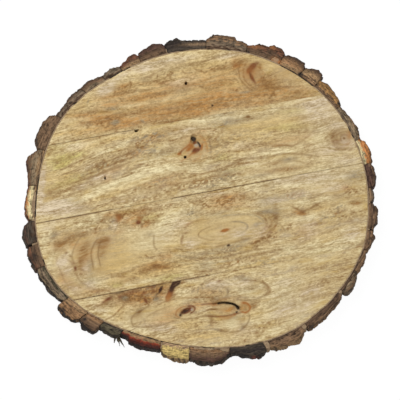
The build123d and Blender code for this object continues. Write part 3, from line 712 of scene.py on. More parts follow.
        (18, 0.8, 224, 230.5, 33, 11.5, 200, 350, 11), (18, 0.9, 224, 230.5, 37, 13.5, 20, 150, 10),
        (22, 0.9, 224, 231, 44, 16.5, 190, 290, 10),
    ),
    *rings(
        Tone.GREY, (66, 0.8, 223, 230.8, 25, 7.6, -55, 70, 11), (42, 0.9, 226, 229, 38, 13, -10, 100, 11),
        (40, 0.9, 225, 232, 54, 20, 200, 285, 10), (36, 0.9, 225, 232, 64, 24, 205, 290, 10),
        (30, 0.9, 225, 233, 76, 28, 212, 290, 10),
    ),
)

PLANK_4_MARKS = (
    # Burl under the seam: specks, knots of dark and pale grain
    *patches(
        Tone.ORANGE, (138, 296, 24, 7, 62, 14), (108, 299, 9, 4, 50, 30), (148, 299, 8, 5, 70, 20),
        (172, 294, 4, 8, 50, -24), (200, 290, 14, 5, 26), (150, 337, 20, 2.4, 26, -12),
        (225, 299, 14, 2, 30, 4), (230, 309, 9, 4, 60), (215, 309.2, 8, 1.6, 40, 2), (160, 322, 14, 3, 30),
        (216, 292, 12, 5, 25), (179.5, 312, 4, 3.4, 40), (244.5, 307.5, 5, 4, 60, 20, 1.6),
        (168, 314, 14, 6, 40), (194, 306, 8, 4, 40), (212, 303, 10, 3, 40), (160, 292, 6, 7, 50, -30),
        (123, 296, 8, 5, 40), (220, 303, 10, 3, 40), (193, 303, 8, 3, 35), (167, 287, 5, 5, 40, -30),
    ),
    *patches(
        Tone.BROWN, (150, 300, 10, 5, 62, 30, 1, 1.4), (147, 300, 3, 4.4, 50, 20),
        (140, 310.5, 6, 2.4, 50, 30), (112, 304, 8, 4, 20, 20, 1, 1.5), (162, 290, 4, 5, 45, -30, 1, 1.4),
        (203, 297, 14, 1.6, 50, 2, 1, 1.8), (219, 281, 4, 1.6, 62, 20), (210, 281, 8, 3, 42, 6, 1, 1.5),
        (192, 288, 8, 3, 42, 10, 1, 1.5), (215, 294, 16, 5, 36, 0, 1, 1.6), (253, 305, 5, 3, 46, 20),
        (266, 289, 4, 4, 36), (262, 326, 18, 5, 35, 22, 1, 1.5), (250, 334, 14, 3, 42, 14, 1, 1.5),
        (240, 341, 18, 2, 50, 6, 1, 1.6), (300, 296, 16, 3, 34, 16, 1, 1.6),
        (318, 284, 12, 4, 42, 20, 1, 1.6), (212, 322, 3, 6, 34), (180, 337, 24, 2, 25, 4, 1, 2),
        (212, 298, 5, 2, 30), (290, 305, 18, 3, 15, 24, 1, 1.6), (122, 314, 14, 4, 26, 34, 1, 1.8),
        (280, 318, 18, 4, 20, 28, 1, 1.5), (125, 297, 5.5, 4, 75, -10, 1.3),
        (134, 292, 12, 4.5, 85, 14, 1, 1.4), (144, 291, 13, 5, 90, 16, 1, 1.4),
        (150, 286.5, 9, 3, 80, 14, 1, 1.3), (140, 299, 8, 2.6, 60, 0, 1, 1.4),
        (140, 286, 24, 4, 50, 12, 1, 1.5), (253, 307, 4, 3, 40, 30), (135, 316, 8, 6, 30, 30),
        (243, 322, 6, 6, 30),
    ),
    *patches(
        Tone.GREY, (124, 298, 4.4, 2.6, 85, -10, 1.3), (139, 311, 4.4, 1.6, 70, 30),
        (110, 297.5, 4, 2, 60, 20), (216, 299, 3.4, 2, 60), (228, 292, 2, 4, 50),
        (216, 288, 10, 6, 25, 6, 1, 1.6), (244, 279, 8, 2.4, 60, -8), (206, 284, 8, 3, 40, 6, 1, 1.6),
        (250, 289, 12, 5, 26), (243, 327, 4, 2, 50, 40), (219, 330, 5, 1.4, 50, -14),
        (198, 290, 8, 3, 40, 10, 1, 1.5), (150, 287, 12, 2, 50, 14, 1, 1.4), (236, 317, 10, 2, 30),
        (192, 300, 10, 2, 30), (112, 305, 10, 5, 12, 20), (156.5, 299, 3.6, 1.6, 90, 16, 1.3),
    ),
    *patches(
        Tone.HEART, (131, 292, 8, 2, 50), (144, 293, 3, 1.6, 50, 30), (151, 286.5, 6, 1.4, 55),
        (153, 291, 2, 3, 35, 30), (120, 296.5, 2, 2, 50), (219, 281, 2.4, 0.9, 40, 20),
        (170.8, 292.5, 5.5, 3, 70, 66, 2), (145.6, 300.4, 3, 1.2, 85, -68, 1.6),
        (108, 299, 4.5, 1.5, 75, 28, 1.3), (103.3, 302.3, 2, 0.9, 60, 28),
        (186.5, 310.5, 6.4, 3, 100, 24, 2.2),
    ),
    *patches(
        Tone.CREAM, (116, 297, 3, 3, 75, 20), (95, 300, 9, 3, 65, -10), (102, 312, 12, 6, 40, -30),
        (151, 303, 2.4, 1.4, 60), (166, 289, 3, 5, 62, -30), (184, 291, 10, 4, 55), (160, 312, 16, 4.5, 25),
        (150, 333, 18, 3, 45, -14), (232, 322, 9, 4.5, 70, 6, 1.3), (219, 290, 5, 3, 45, -20),
        (205, 307, 10, 1.6, 60, 0), (282, 284, 16, 8, 50), (288, 297, 14, 4, 36, 16),
        (300, 285, 12, 3, 36, 14), (265, 306, 16, 3, 32, 14), (275, 330, 14, 3, 34, 22),
        (130, 319, 6, 6, 40, 30), (196, 299.5, 14, 1.8, 40, 4), (145, 306, 4, 2, 40, 30),
        (296, 318, 14, 3, 40, 30), (105, 321, 8, 2, 40, -30), (240, 291, 8, 3, 30),
        (282, 304, 26, 10, 80, 20), (148, 332, 20, 5, 50, -14), (144, 297, 4, 1, 80, 6),
        (244.5, 306.5, 2.4, 1.8, 70), (293, 291, 18, 6, 50, 16), (113, 302, 10, 5, 40), (148, 297, 8, 4, 35),
        (289, 292, 12, 4, 35), (148, 297, 8, 4, 30), (116, 301, 9, 4, 35), (287, 306, 14, 5, 40, 20),
    ),
    *patches(
        Tone.GOLD, (185, 325, 24, 5, 46, 4), (200, 336, 34, 4, 50, 2), (232, 333, 14, 4, 15),
        (120, 314, 8, 8, 35, 40), (306, 288, 14, 6, 36, 14), (255, 312, 18, 6, 26, 14),
        (160, 340, 14, 2, 40, -12), (172, 303, 12, 3, 35), (244.5, 307.5, 5, 4, 60, 20, 1.6),
        (222, 302.5, 10, 2.5, 40),
    ),
    *patches(
        Tone.PINK, (244, 283, 10, 4, 36), (225, 284, 14, 4, 34, 4), (308, 304, 16, 4, 42, 34),
        (282, 295, 12, 3, 30), (212, 283, 8, 4, 40), (100, 309, 8, 3, 30, -30), (287, 283, 12, 5, 35),
        (311, 290, 12, 6, 50, 20), (284, 311, 14, 5, 40, 20), (288, 306, 14, 5, 40, 20),
        (164, 328, 16, 5, 50, -8), (240, 332, 12, 4, 35),
    ),
    *strokes(
        Tone.HEART, (60, 0.9, 169.5, 289, 167.5, 294, 166.4, 299),
        (80, 0.9, 187, 306.4, 191, 305.5, 194.5, 307.5, 194, 311, 190, 313.5),
        (65, 1, 205, 316, 217, 316.4, 228, 315.5, 240, 312.5),
    ),
    *strokes(
        Tone.AMBER, (55, 0.8, 187, 306, 181, 307.5, 176.5, 311, 175.8, 314.5, 178.5, 317, 181, 316.8),
        (85, 1.1, 241, 303, 246, 303, 249.5, 306, 249, 310.5, 244, 312.5, 240, 311),
    ),
    *strokes(Tone.UMBER, (40, 1.1, 157, 294.5, 155, 297)),
    *strokes(Tone.UMBER, (34, 0.8, 118, 292.5, 132, 289, 148, 285.6, 166, 282.5)),
    *patches(
        Tone.UMBER, (160.8, 289, 4.2, 1.6, 95, 60, 2.2), (157.4, 293.6, 1.4, 0.8, 70), (118, 293, 6, 0.8, 50),
        (185, 311, 4.6, 1.8, 85, 26, 1.8), (180.6, 315, 1.6, 1.6, 80), (236.5, 312, 1.4, 1, 85, 30, 1.6),
        (175.6, 283.4, 6.4, 3.2, 100, 58, 2.6), (172.4, 288.4, 4, 2.6, 85, 62, 2),
    ),
    # Painted highlights: grey glints in the knot's hollow and in the hole at the crack's end
    *patches(Tone.STONE, (192, 309.2, 1.4, 1.2, 80, 0, 1.6), (238.8, 309.6, 1, 0.8, 70, 30, 1.6)),
    # Open crack, painted dark as shade inside it, the ochre knot at its end, and the rings that run on from
    # it
    *strokes(Tone.HOLE_SHADE, (100, 1.3, 217.5, 304.5, 219, 303, 225, 302.6, 232, 303.2, 236, 305.5, 239.5, 309)),
    *patches(Tone.HOLE_SHADE, (237.6, 306.8, 2.2, 1.5, 95, -50, 1.8)),
    *patches(Tone.AMBER, (214, 305, 3, 0.8, 30), (168.8, 297, 5, 3, 60, 66, 1.8)),
    *patches(
        Tone.LINE, (234, 307, 2, 2.4, 35), (139.5, 311.3, 2.8, 1.1, 85, 30, 1.5),
        (211.8, 309.3, 6, 1.2, 80, 2, 1.8),
    ),
    *strokes(
        Tone.HEART, (56, 0.9, 200, 304.6, 208, 303.8, 217, 304), (46, 0.9, 243, 311.4, 238, 313.4, 233, 315),
    ),
    *strokes(Tone.AMBER, (45, 1.3, 236, 314, 228, 317.6, 218, 317), (40, 1, 241, 301.5, 246, 302, 249, 304)),
    *strokes(
        Tone.LINE,
        (42, 0.9, 152, 304.5, 142, 309.5, 135, 313, 132, 319, 132.5, 325, 139, 327, 154, 326.5, 168, 322.5,
         180, 317.5), (50, 0.9, 172, 316.6, 182, 319, 194, 317.5, 206, 315.4, 214, 315.4),
        (50, 0.9, 247.6, 311, 249.6, 316, 248.5, 322, 243, 328.5, 236, 331.5, 226, 331, 216, 328.6),
        (42, 0.9, 212, 315.6, 210.6, 321, 211, 326), (36, 0.8, 227, 296.5, 228.5, 291, 224, 287, 214, 286.5),
        (34, 0.8, 226, 297.6, 218, 300, 210, 298),
        (40, 0.9, 240, 280, 254, 280.6, 263, 283, 268, 288, 266, 294, 258, 298, 246, 300, 232, 300.5),
        (34, 0.8, 92, 308, 99, 305.5, 106, 302.5),
    ),
    *strokes(
        Tone.BROWN, (56, 0.9, 104, 321, 112, 316.6, 120, 309.6, 128, 302.6),
        (34, 0.9, 147, 316.5, 155, 311.6, 165, 307.6, 172, 305),
        (46, 0.9, 154, 308, 163, 302.4, 173, 299.5, 186, 297.6, 201, 297, 214, 296),
        (36, 1.1, 148, 329, 156, 330, 164, 329), (44, 1.2, 262, 282, 268, 286, 270, 291, 264, 297),
        (34, 1, 96, 317, 108, 322, 120, 326),
    ),
)

CALM = patches(
    Tone.CREAM, (104, 254, 46, 24, 100, 6, 1.6), (224, 230, 46, 15, 100, 10, 1.6),
    (150, 240, 26, 18, 80, 0, 1.6), (286, 72, 22, 11, 80, -30, 1.4), (130, 180, 44, 5, 70, 22),
    (175, 170, 24, 4, 70), (150, 314, 34, 10, 80, 10, 1.5), (232, 321, 12, 6, 90, 6, 1.5),
    (185, 311, 12, 6, 100, 14, 1.6), (344, 139, 13, 12, 90, 0, 1.6), (250, 72, 14, 14, 80, 0, 1.5),
    (195, 147, 16, 14, 90, 0, 1.6), (228, 308, 18, 6, 80, 4, 1.5), (112, 88, 16, 8, 70, 20),
    (42, 184, 5, 22, 80), (70, 280, 20, 14, 80, -40), (222, 290, 14, 7, 60), (318, 200, 62, 150, 45, 0, 2.5),
    (200, 92, 80, 18, 35), (295, 304, 45, 32, 60, 20, 1.5), (200, 338, 70, 10, 40),
    (112, 178, 40, 16, 40, 24), (75, 214, 34, 12, 40), (280, 120, 70, 14, 60), (60, 262, 26, 34, 55, -30),
    (48, 190, 16, 26, 40),
)

SWIRLS = (
    Swirl(250, 72, 20, 15, 0.9),
    Swirl(194, 146, 18, 13, 0.9),
    Swirl(343, 138, 15, 15, 0.9),
    Swirl(224, 230, 42, 12, 0.6),
    Swirl(185, 311, 18, 8, 0.9),
    Swirl(236, 308, 26, 12, 0.7),
    Swirl(140, 298, 26, 9, 0.6),
)

BENDS = (
    Bend(85, 172, 60, 34, 14),
    Bend(140, 165, 50, 26, 9),
    Bend(190, 120, 60, 14, -4),
    Bend(330, 225, 60, 34, 6),
    Bend(80, 255, 40, 34, 8),
    Bend(290, 300, 60, 26, 9),
    Bend(110, 100, 46, 24, -3),
)

RIM_MARKS = (
    *patches(
        Tone.ORANGE_BARK, (276.5, 60, 5, 3, 80, -30, 1.4), (255, 46, 6, 2.2, 40, -8),
        (273, 47, 3, 2.2, 40, -20),
    ),
    *patches(Tone.RED_BARK, (254, 357, 3.5, 1.8, 50, 10, 1.3)),
    *patches(Tone.SAWDUST, (197, 44, 14, 1.6, 50, 2)),
    # Painted shade: near-black spots in notches and gaps at the rim, and along the outer edge on the left and
    # at the bottom
    *patches(
        Tone.COAL, (301, 74, 2.4, 3, 80, 60, 1.3), (340, 103, 2.4, 2.4, 80, 0, 1.3),
        (248, 52, 1.6, 1.6, 80, 0, 1.3), (40, 160, 1.6, 8, 50, -20), (38, 178, 1.4, 8, 60, -24),
        (85, 319, 2, 1.6, 80, 0, 1.3), (63, 309, 3, 1.6, 70, -30, 1.3), (36, 238, 3, 4, 60, 0),
        (35, 256, 3, 4, 60, 0),
    ),
    *patches(Tone.BARK_BROWN, (173, 355, 1, 3, 40, 0)),
)


def covers(marks: tuple, tones: tuple[Tone, ...], x: Array, y: Array) -> dict[Tone, Array]:
    """Work out how much of each tone lies at each place.

    Args:
        marks: patches and strokes, in places of the view.
        tones: tones that may appear.
        x: board millimetres to the right.
        y: board millimetres away.

    Returns:
        A share from zero to one for each tone.
    """
    right, down = to_seen(x, y)
    along, across = to_grain(x, y)
    wander = 1.3 * Ripple(11).at(along / 11, across / 4) + 0.6 * Ripple(12).at(along / 4, across / 1.7)
    drift = 2.0 * Ripple(13).at(along / 9, across / 5)
    clear = {tone: np.ones_like(x) for tone in tones}
    for mark in marks:
        if mark.tone not in clear:
            continue
        sway = WIDE_SWAY if isinstance(mark, Patch) and mark.width > WIDE_FROM else FINE_SWAY
        gain = PATCH_GAIN if isinstance(mark, Patch) else STROKE_GAIN
        cover = gain * mark.cover(right + sway * drift, down + sway * wander)
        clear[mark.tone] *= 1 - np.clip(cover, 0, 1)
    return {tone: 1 - share for tone, share in clear.items()}


def calm_share(x: Array, y: Array) -> Array:
    """How far the fibres fade at each place of the board, from zero to one."""
    right, down = to_seen(x, y)
    return np.max([patch.cover(right, down) for patch in CALM], axis=0)


def fibre_lines(x: Array, y: Array) -> tuple[Array, Array]:
    """Follow the fibres: millimetres along them, and a value that is the same all along one fibre.

    Args:
        x: board millimetres to the right.
        y: board millimetres away.

    Returns:
        Millimetres along and across the fibres.
    """
    along, across = to_grain(x, y)
    broad = 1.6 * Ripple(21).at(along / 70, across / 30)
    line = across + broad + 0.7 * Ripple(22).at(along / 26, across / 12)
    for bend in BENDS:
        a0, c0 = to_grain(*map(np.array, from_seen(bend.x, bend.y)))
        run, rise = along - a0, across - c0
        weight = np.exp(-((run / bend.length) ** 2) - (rise / bend.width) ** 2)
        line = line - math.tan(math.radians(bend.turn)) * run * weight
    for swirl in SWIRLS:
        a0, c0 = to_grain(*map(np.array, from_seen(swirl.x, swirl.y)))
        run, rise = (along - a0) / swirl.length, (across - c0) / swirl.width
        line = line - swirl.push * rise * swirl.width * np.exp(-(run**2) - rise**2)
    return along, line


class Graph:
    """Node tree of one material, with short calls for the nodes that the finishes use."""

    def __init__(self, name: str) -> None:
        """Start an empty material.

        Args:
            name: the material's name.
        """
        self.material = bpy.data.materials.new(name)
        self.material.use_nodes = True
        self.tree = self.material.node_tree
        self.tree.nodes.clear()
        self.count = 0

    def node(self, kind: str, **settings: object) -> bpy.types.Node:
        """Add a node and set its properties."""
        made = self.tree.nodes.new(kind)
        made.location = (180 * (self.count % 12), -220 * (self.count // 12))
        self.count += 1
        for key, value in settings.items():
            setattr(made, key, value)
        return made

    def feed(self, socket: Socket, value: object) -> None:
        """Link an output to a socket, or set the socket's own value."""
        if isinstance(value, Socket):
            self.tree.links.new(value, socket)
        else:
            socket.default_value = value

    def attribute(self, name: str, output: str = "Fac") -> Socket:
        """Read a value that the mesh carries at each point."""
        return self.node("ShaderNodeAttribute", attribute_name=name).outputs[output]

    def place(self) -> Socket:
        """Place on the piece, in millimetres."""
        return self.stretch(self.node("ShaderNodeTexCoord").outputs["Object"], 1000, 1000, 1000)

    def stretch(self, vector: Socket, x: float, y: float, z: float) -> Socket:
        """Scale a vector along its three axes."""
        made = self.node("ShaderNodeVectorMath", operation="MULTIPLY")
        self.feed(made.inputs[0], vector)
        self.feed(made.inputs[1], (x, y, z))
        return made.outputs[0]

    def shift(self, vector: Socket, amount: Socket | tuple, share: float = 1.0) -> Socket:
        """Move a vector by a share of another one."""
        scaled = self.node("ShaderNodeVectorMath", operation="SCALE")
        self.feed(scaled.inputs[0], amount)
        scaled.inputs["Scale"].default_value = share
        made = self.node("ShaderNodeVectorMath", operation="ADD")
        self.feed(made.inputs[0], vector)
        self.feed(made.inputs[1], scaled.outputs[0])
        return made.outputs[0]

    def noise(
        self, vector: Socket, scale: float = 1.0, detail: float = 2.0, rough: float = 0.5,
        warp: float = 0.0, output: str = "Fac",
    ) -> Socket:
        """Soft noise, mostly between 0.3 and 0.7.

        Args:
            vector: where it is read.
            scale: cells for each unit of the vector.
            detail: octaves.
            rough: weight of the finer octaves.
            warp: distortion.
            output: Fac or Color.

        Returns:
            The noise.
        """
        made = self.node("ShaderNodeTexNoise")
        self.feed(made.inputs["Vector"], vector)
        for name, value in (("Scale", scale), ("Detail", detail), ("Roughness", rough), ("Distortion", warp)):
            made.inputs[name].default_value = value
        return made.outputs[output]

    def cells(self, vector: Socket, scale: float, feature: str = "F1") -> Socket:
        """Cell pattern: distance to the nearest seed, or to the border between cells."""
        made = self.node("ShaderNodeTexVoronoi", feature=feature)
        self.feed(made.inputs["Vector"], vector)
        made.inputs["Scale"].default_value = scale
        return made.outputs["Distance"]

    def maths(self, operation: str, *values: object, clamp: bool = False) -> Socket:
        """One step of arithmetic on two or three values."""
        made = self.node("ShaderNodeMath", operation=operation, use_clamp=clamp)
        for socket, value in zip(made.inputs, values):
            self.feed(socket, value)
        return made.outputs[0]

    def times(self, first: object, second: object, clamp: bool = False) -> Socket:
        """Multiply two values."""
        return self.maths("MULTIPLY", first, second, clamp=clamp)

    def plus(self, first: object, second: object) -> Socket:
        """Add two values."""
        return self.maths("ADD", first, second)

    def minus(self, first: object, second: object) -> Socket:
        """Take the second value from the first."""
        return self.maths("SUBTRACT", first, second)

    def span(
        self, value: Socket, low: float, high: float, start: float = 0.0, end: float = 1.0,
    ) -> Socket:
        """Rise smoothly from start to end while a value goes from low to high."""
        made = self.node("ShaderNodeMapRange", interpolation_type="SMOOTHSTEP")
        self.feed(made.inputs["Value"], value)
        for name, amount in (("From Min", low), ("From Max", high), ("To Min", start), ("To Max", end)):
            made.inputs[name].default_value = amount
        return made.outputs["Result"]

    def blend(self, share: object, first: object, second: object, way: str = "MIX") -> Socket:
        """Blend two colours."""
        made = self.node("ShaderNodeMix", data_type="RGBA", blend_type=way)
        self.feed(made.inputs[0], share)
        self.feed(made.inputs[6], first)
        self.feed(made.inputs[7], second)
        return made.outputs[2]

    def ramp(self, value: Socket, stops: list[tuple[float, tuple]]) -> Socket:
        """Run through colours as a value rises."""
        made = self.node("ShaderNodeValToRGB")
        elements = made.color_ramp.elements
        while len(elements) < len(stops):
            elements.new(0.5)
        for element, (position, colour) in zip(elements, stops):
            element.position = position
            element.color = colour
        self.feed(made.inputs[0], value)
        return made.outputs[0]

    def shade(self, red: Socket, green: Socket, blue: Socket) -> Socket:
        """Make a colour of three values."""
        made = self.node("ShaderNodeCombineColor")
        for socket, value in zip(made.inputs, (red, green, blue)):
            self.feed(socket, value)
        return made.outputs[0]

    def finish(
        self, colour: Socket, roughness: object, height: Socket, depth: float, gloss: float,
    ) -> None:
        """End the tree in the shader.

        Args:
            colour: base colour.
            roughness: roughness, linked or plain.
            height: relief from zero to one.
            depth: height of the relief in millimetres.
            gloss: specular level.
        """
        bump = self.node("ShaderNodeBump")
        bump.inputs["Distance"].default_value = depth * MM
        self.feed(bump.inputs["Height"], height)
        shader = self.node("ShaderNodeBsdfPrincipled")
        self.feed(shader.inputs["Base Color"], colour)
        self.feed(shader.inputs["Roughness"], roughness)
        self.feed(shader.inputs["Normal"], bump.outputs[0])
        shader.inputs["Specular IOR Level"].default_value = gloss
        end = self.node("ShaderNodeOutputMaterial")
        self.feed(end.inputs["Surface"], shader.outputs[0])


@dataclass(frozen=True)
class PlankFinish:
    """Planed, oiled hardwood: fibres, streaks, mottling and the tones of the figure."""

    deep: Tone = Tone.STRAW_DEEP
    plain: Tone = Tone.STRAW
    pale: Tone = Tone.STRAW_PALE
    contrast: float = 1.05
    grip: float = 1.3
    tint: float = 0.5
    depth: float = 0.36

    def material(self, name: str, film: bool = False) -> bpy.types.Material:
        """Build the material.

        Args:
            name: the material's name.
            film: whether it is for a film of glue, which is dark where its mesh says so.

        Returns:
            The material.
        """
        graph = Graph(name)
        flow = graph.attribute("flow", "Vector")
        place = graph.place()
        wander = graph.noise(graph.stretch(flow, 0.05, 0.22, 0.22), 1, 2, 0.5, 0, "Color")
        waved = graph.shift(flow, wander, 2.2)
        layers = {
            layer: graph.noise(graph.stretch(waved, along, across, across), 1, octaves, rough)
            for layer, (along, across, octaves, rough) in FIBRE_LAYERS.items()
        }
        layers["mottle"] = graph.noise(graph.stretch(place, 0.24, 0.3, 0.3), 1, 3, 0.65, 0.6)
        fibre, streak, fleck = layers["fibre"], layers["streak"], layers["fleck"]
        level = graph.maths("MULTIPLY_ADD", fibre, self.contrast, 0.5 - 0.5 * self.contrast)
        for layer, weight in LEVEL_WEIGHTS.items():
            gain = weight * self.contrast
            level = graph.plus(level, graph.maths("MULTIPLY_ADD", layers[layer], gain, -0.5 * gain))
        even = graph.span(graph.attribute("calm"), 0, 1, 1.0, 0.3)
        level = graph.maths("MULTIPLY_ADD", graph.minus(level, 0.5), even, 0.5)
        colour = graph.ramp(level, [
            (0.1, linear(self.deep)), (0.52, linear(self.plain)), (0.92, linear(self.pale)),
        ])
        aside = graph.stretch(graph.shift(waved, (0, 71, 0)), 0.035, 0.13, 0.13)
        hue = graph.plus(graph.times(fleck, 0.25), graph.noise(aside, 1, 3, 0.6))
        colour = graph.blend(graph.span(hue, 0.64, 0.86, 0, self.tint), colour, linear(Tone.HONEY))
        colour = graph.blend(graph.span(hue, 0.61, 0.39, 0, self.tint), colour, linear(Tone.STONE))
        broken = graph.plus(graph.times(streak, 0.55), graph.times(fibre, 0.45))
        loose = graph.span(broken, 0.34, 0.66, 1 - 0.5 * self.grip, 1 + 0.5 * self.grip)
        firm = graph.span(fleck, 0.3, 0.7, 0.85, 1.15)
        grained = graph.shade(*(
            graph.span(level, 0.05, 0.95, 1 - share * self.depth, 1 + share * self.depth)
            for share in WARMING
        ))
        for tone in FACE_TONES:
            small = tone in SMALL_TONES
            cover = graph.times(graph.attribute(tone_name(tone)), firm if small else loose, True)
            fibred = linear(tone) if small else graph.blend(1.0, linear(tone), grained, "MULTIPLY")
            colour = graph.blend(cover, colour, fibred)
        pores = graph.noise(graph.stretch(waved, 0.16, 2.2, 2.2), 1, 1, 0.5)
        pore = graph.span(pores, 0.6, 0.74, 0, 0.3)
        colour = graph.blend(pore, colour, linear(Tone.BROWN))
        if film:
            grit = graph.span(graph.noise(place, 0.9, 3, 0.6), 0.35, 0.6, 0.75, 1.2)
            cover = graph.times(graph.attribute("dark"), grit, True)
            colour = graph.blend(cover, colour, linear(Tone.GLUE_DARK))
        roughness = graph.span(streak, 0.3, 0.7, 0.62, 0.5)
        relief = graph.minus(graph.times(fibre, 0.6), graph.times(pore, 1.2))
        graph.finish(colour, roughness, relief, 0.05, 0.18)
        return graph.material


@dataclass(frozen=True)
class DustFinish:
    """Sawdust bound with glue, grainy, with painted shade in gaps where the mesh says so."""

    plain: Tone = Tone.SAWDUST
    pale: Tone = Tone.SAWDUST_PALE
    # Colour of the painted shade in the gaps
    dark: Tone = Tone.COAL

    def material(self, name: str) -> bpy.types.Material:
        """Build the material from grains, soft mottling and painted shade where the mesh's cover of dark says
        so.
        """
        graph = Graph(name)
        place = graph.place()
        grains = graph.cells(place, 1.5)
        fine = graph.noise(place, 2.2, 3, 0.7)
        mottle = graph.noise(place, 0.28, 2, 0.5)
        level = graph.plus(graph.times(fine, 0.6), graph.times(mottle, 0.5))
        colour = graph.blend(graph.span(level, 0.4, 0.72), linear(self.plain, 0.86), linear(self.pale))
        colour = graph.blend(graph.span(grains, 0.2, 0.6, 0.0, 0.3), colour, linear(self.plain, 0.7))
        # Painted shade in the gaps
        gap = graph.span(graph.plus(graph.attribute("dark"), graph.minus(fine, 0.5)), 0.3, 0.6)
        colour = graph.blend(gap, colour, linear(self.dark))
        relief = graph.minus(fine, graph.times(grains, 0.4))
        graph.finish(colour, graph.span(fine, 0.3, 0.7, 0.75, 0.9), relief, 0.35, 0.2)
        return graph.material


@dataclass(frozen=True)
class BarkFinish:
    """One bark piece's looks: tones from its inner edge to its outer edge, and its weathered skin."""

    slot: str
    inner: Tone
    middle: Tone
    outer: Tone
    skin: Tone = Tone.CHARCOAL
    first: float = 0.3
    second: float = 0.68
    streaks: float = 1.0
    # Strength of the painted shade along the top's edges next to the upright sides
    border: float = 0.5
    soft: float = 0.08

    def material(self, name: str) -> bpy.types.Material:
        """Build the material: sawn layers on the top and bottom, furrowed skin outside.

        Args:
            name: the material's name.

        Returns:
            The material.
        """
        graph = Graph(name)
        place = graph.place()
        run = graph.attribute("run", "Vector")
        laminar = graph.noise(graph.stretch(run, 0.12, 0.8, 0.3), 1, 3, 0.6, 0.3)
        speckle = graph.noise(place, 0.5, 2.5, 0.6)
        mottle = graph.noise(graph.stretch(run, 0.26, 0.4, 0.3), 1, 3, 0.6, 0.5)
        bent = graph.shift(graph.stretch(run, 0.2, 0.34, 0.2), mottle, 1.5)
        crack = graph.cells(bent, 1, "DISTANCE_TO_EDGE")
        sway = graph.times(graph.minus(laminar, 0.5), 0.7 * self.streaks)
        swing = graph.times(graph.minus(mottle, 0.5), 0.9)
        layer = graph.plus(graph.attribute("layer"), graph.plus(sway, swing))
        sawn = graph.ramp(layer, [
            (max(self.first - self.soft, 0.0), linear(self.inner)),
            (self.first + self.soft, linear(self.middle)),
            (self.second - self.soft, linear(self.middle)),
            (min(self.second + self.soft, 1.0), linear(self.outer)),
        ])
        light = graph.plus(graph.times(speckle, 0.5), graph.times(laminar, 1.3))
        light = graph.plus(light, graph.times(mottle, 0.9))
        shade = graph.span(light, 0.98, 1.72, 0.25, 2.0)
        sawn = graph.blend(1.0, sawn, graph.shade(shade, shade, shade), "MULTIPLY")
        seam = graph.times(graph.span(crack, 0.05, 0.0, 0, 1), graph.span(mottle, 0.46, 0.62, 0, 0.6))
        # Painted shade: the top darkens towards the piece's upright sides; dark cracks of the bark join it
        border = graph.times(graph.attribute("edge"), graph.span(mottle, 0.38, 0.6, 0.2, 1.0), True)
        cracks_and_edge_shade = graph.maths("MAXIMUM", seam, graph.times(border, self.border))
        sawn = graph.blend(cracks_and_edge_shade, sawn, linear(self.skin, 0.55))
        crust = graph.noise(graph.stretch(run, 0.5, 0.5, 0.16), 1, 4, 0.65, 0.5)
        skin = graph.ramp(crust, [
            (0.36, linear(self.skin, 0.62)), (0.52, linear(self.skin)), (0.68, linear(self.outer, 0.95)),
        ])
        skin = graph.blend(graph.span(speckle, 0.56, 0.7, 0, 0.35), skin, linear(Tone.GREY_BROWN))
        cover = graph.plus(graph.attribute("skin"), graph.times(sway, 0.8))
        colour = graph.blend(graph.span(cover, 0.42, 0.62), sawn, skin)
        for tone in RIM_TONES:
            flaky = graph.span(speckle, 0.35, 0.6, 0.6, 1.3)
            broken = graph.times(graph.attribute(tone_name(tone)), flaky, True)
            colour = graph.blend(broken, colour, linear(tone))
        # Painted shade in the skin's furrows and in the crumbled hollows of the outer edge
        colour = graph.blend(graph.attribute("pit"), colour, linear(Tone.COAL, 0.8))
        relief = graph.plus(graph.times(speckle, 0.7), graph.times(laminar, 0.5))
        graph.finish(colour, graph.span(speckle, 0.3, 0.7, 0.7, 0.92), relief, 0.3, 0.15)
        return graph.material


def bark(
    slot: str, tones: str, first: float = 0.3, second: float = 0.68, streaks: float = 1.0,
) -> BarkFinish:
    """Finish of one bark piece, from the names of its inner, middle, outer and skin tones."""
    return BarkFinish(f"bark_{slot}", *(Tone[name] for name in tones.split()), first, second, streaks)


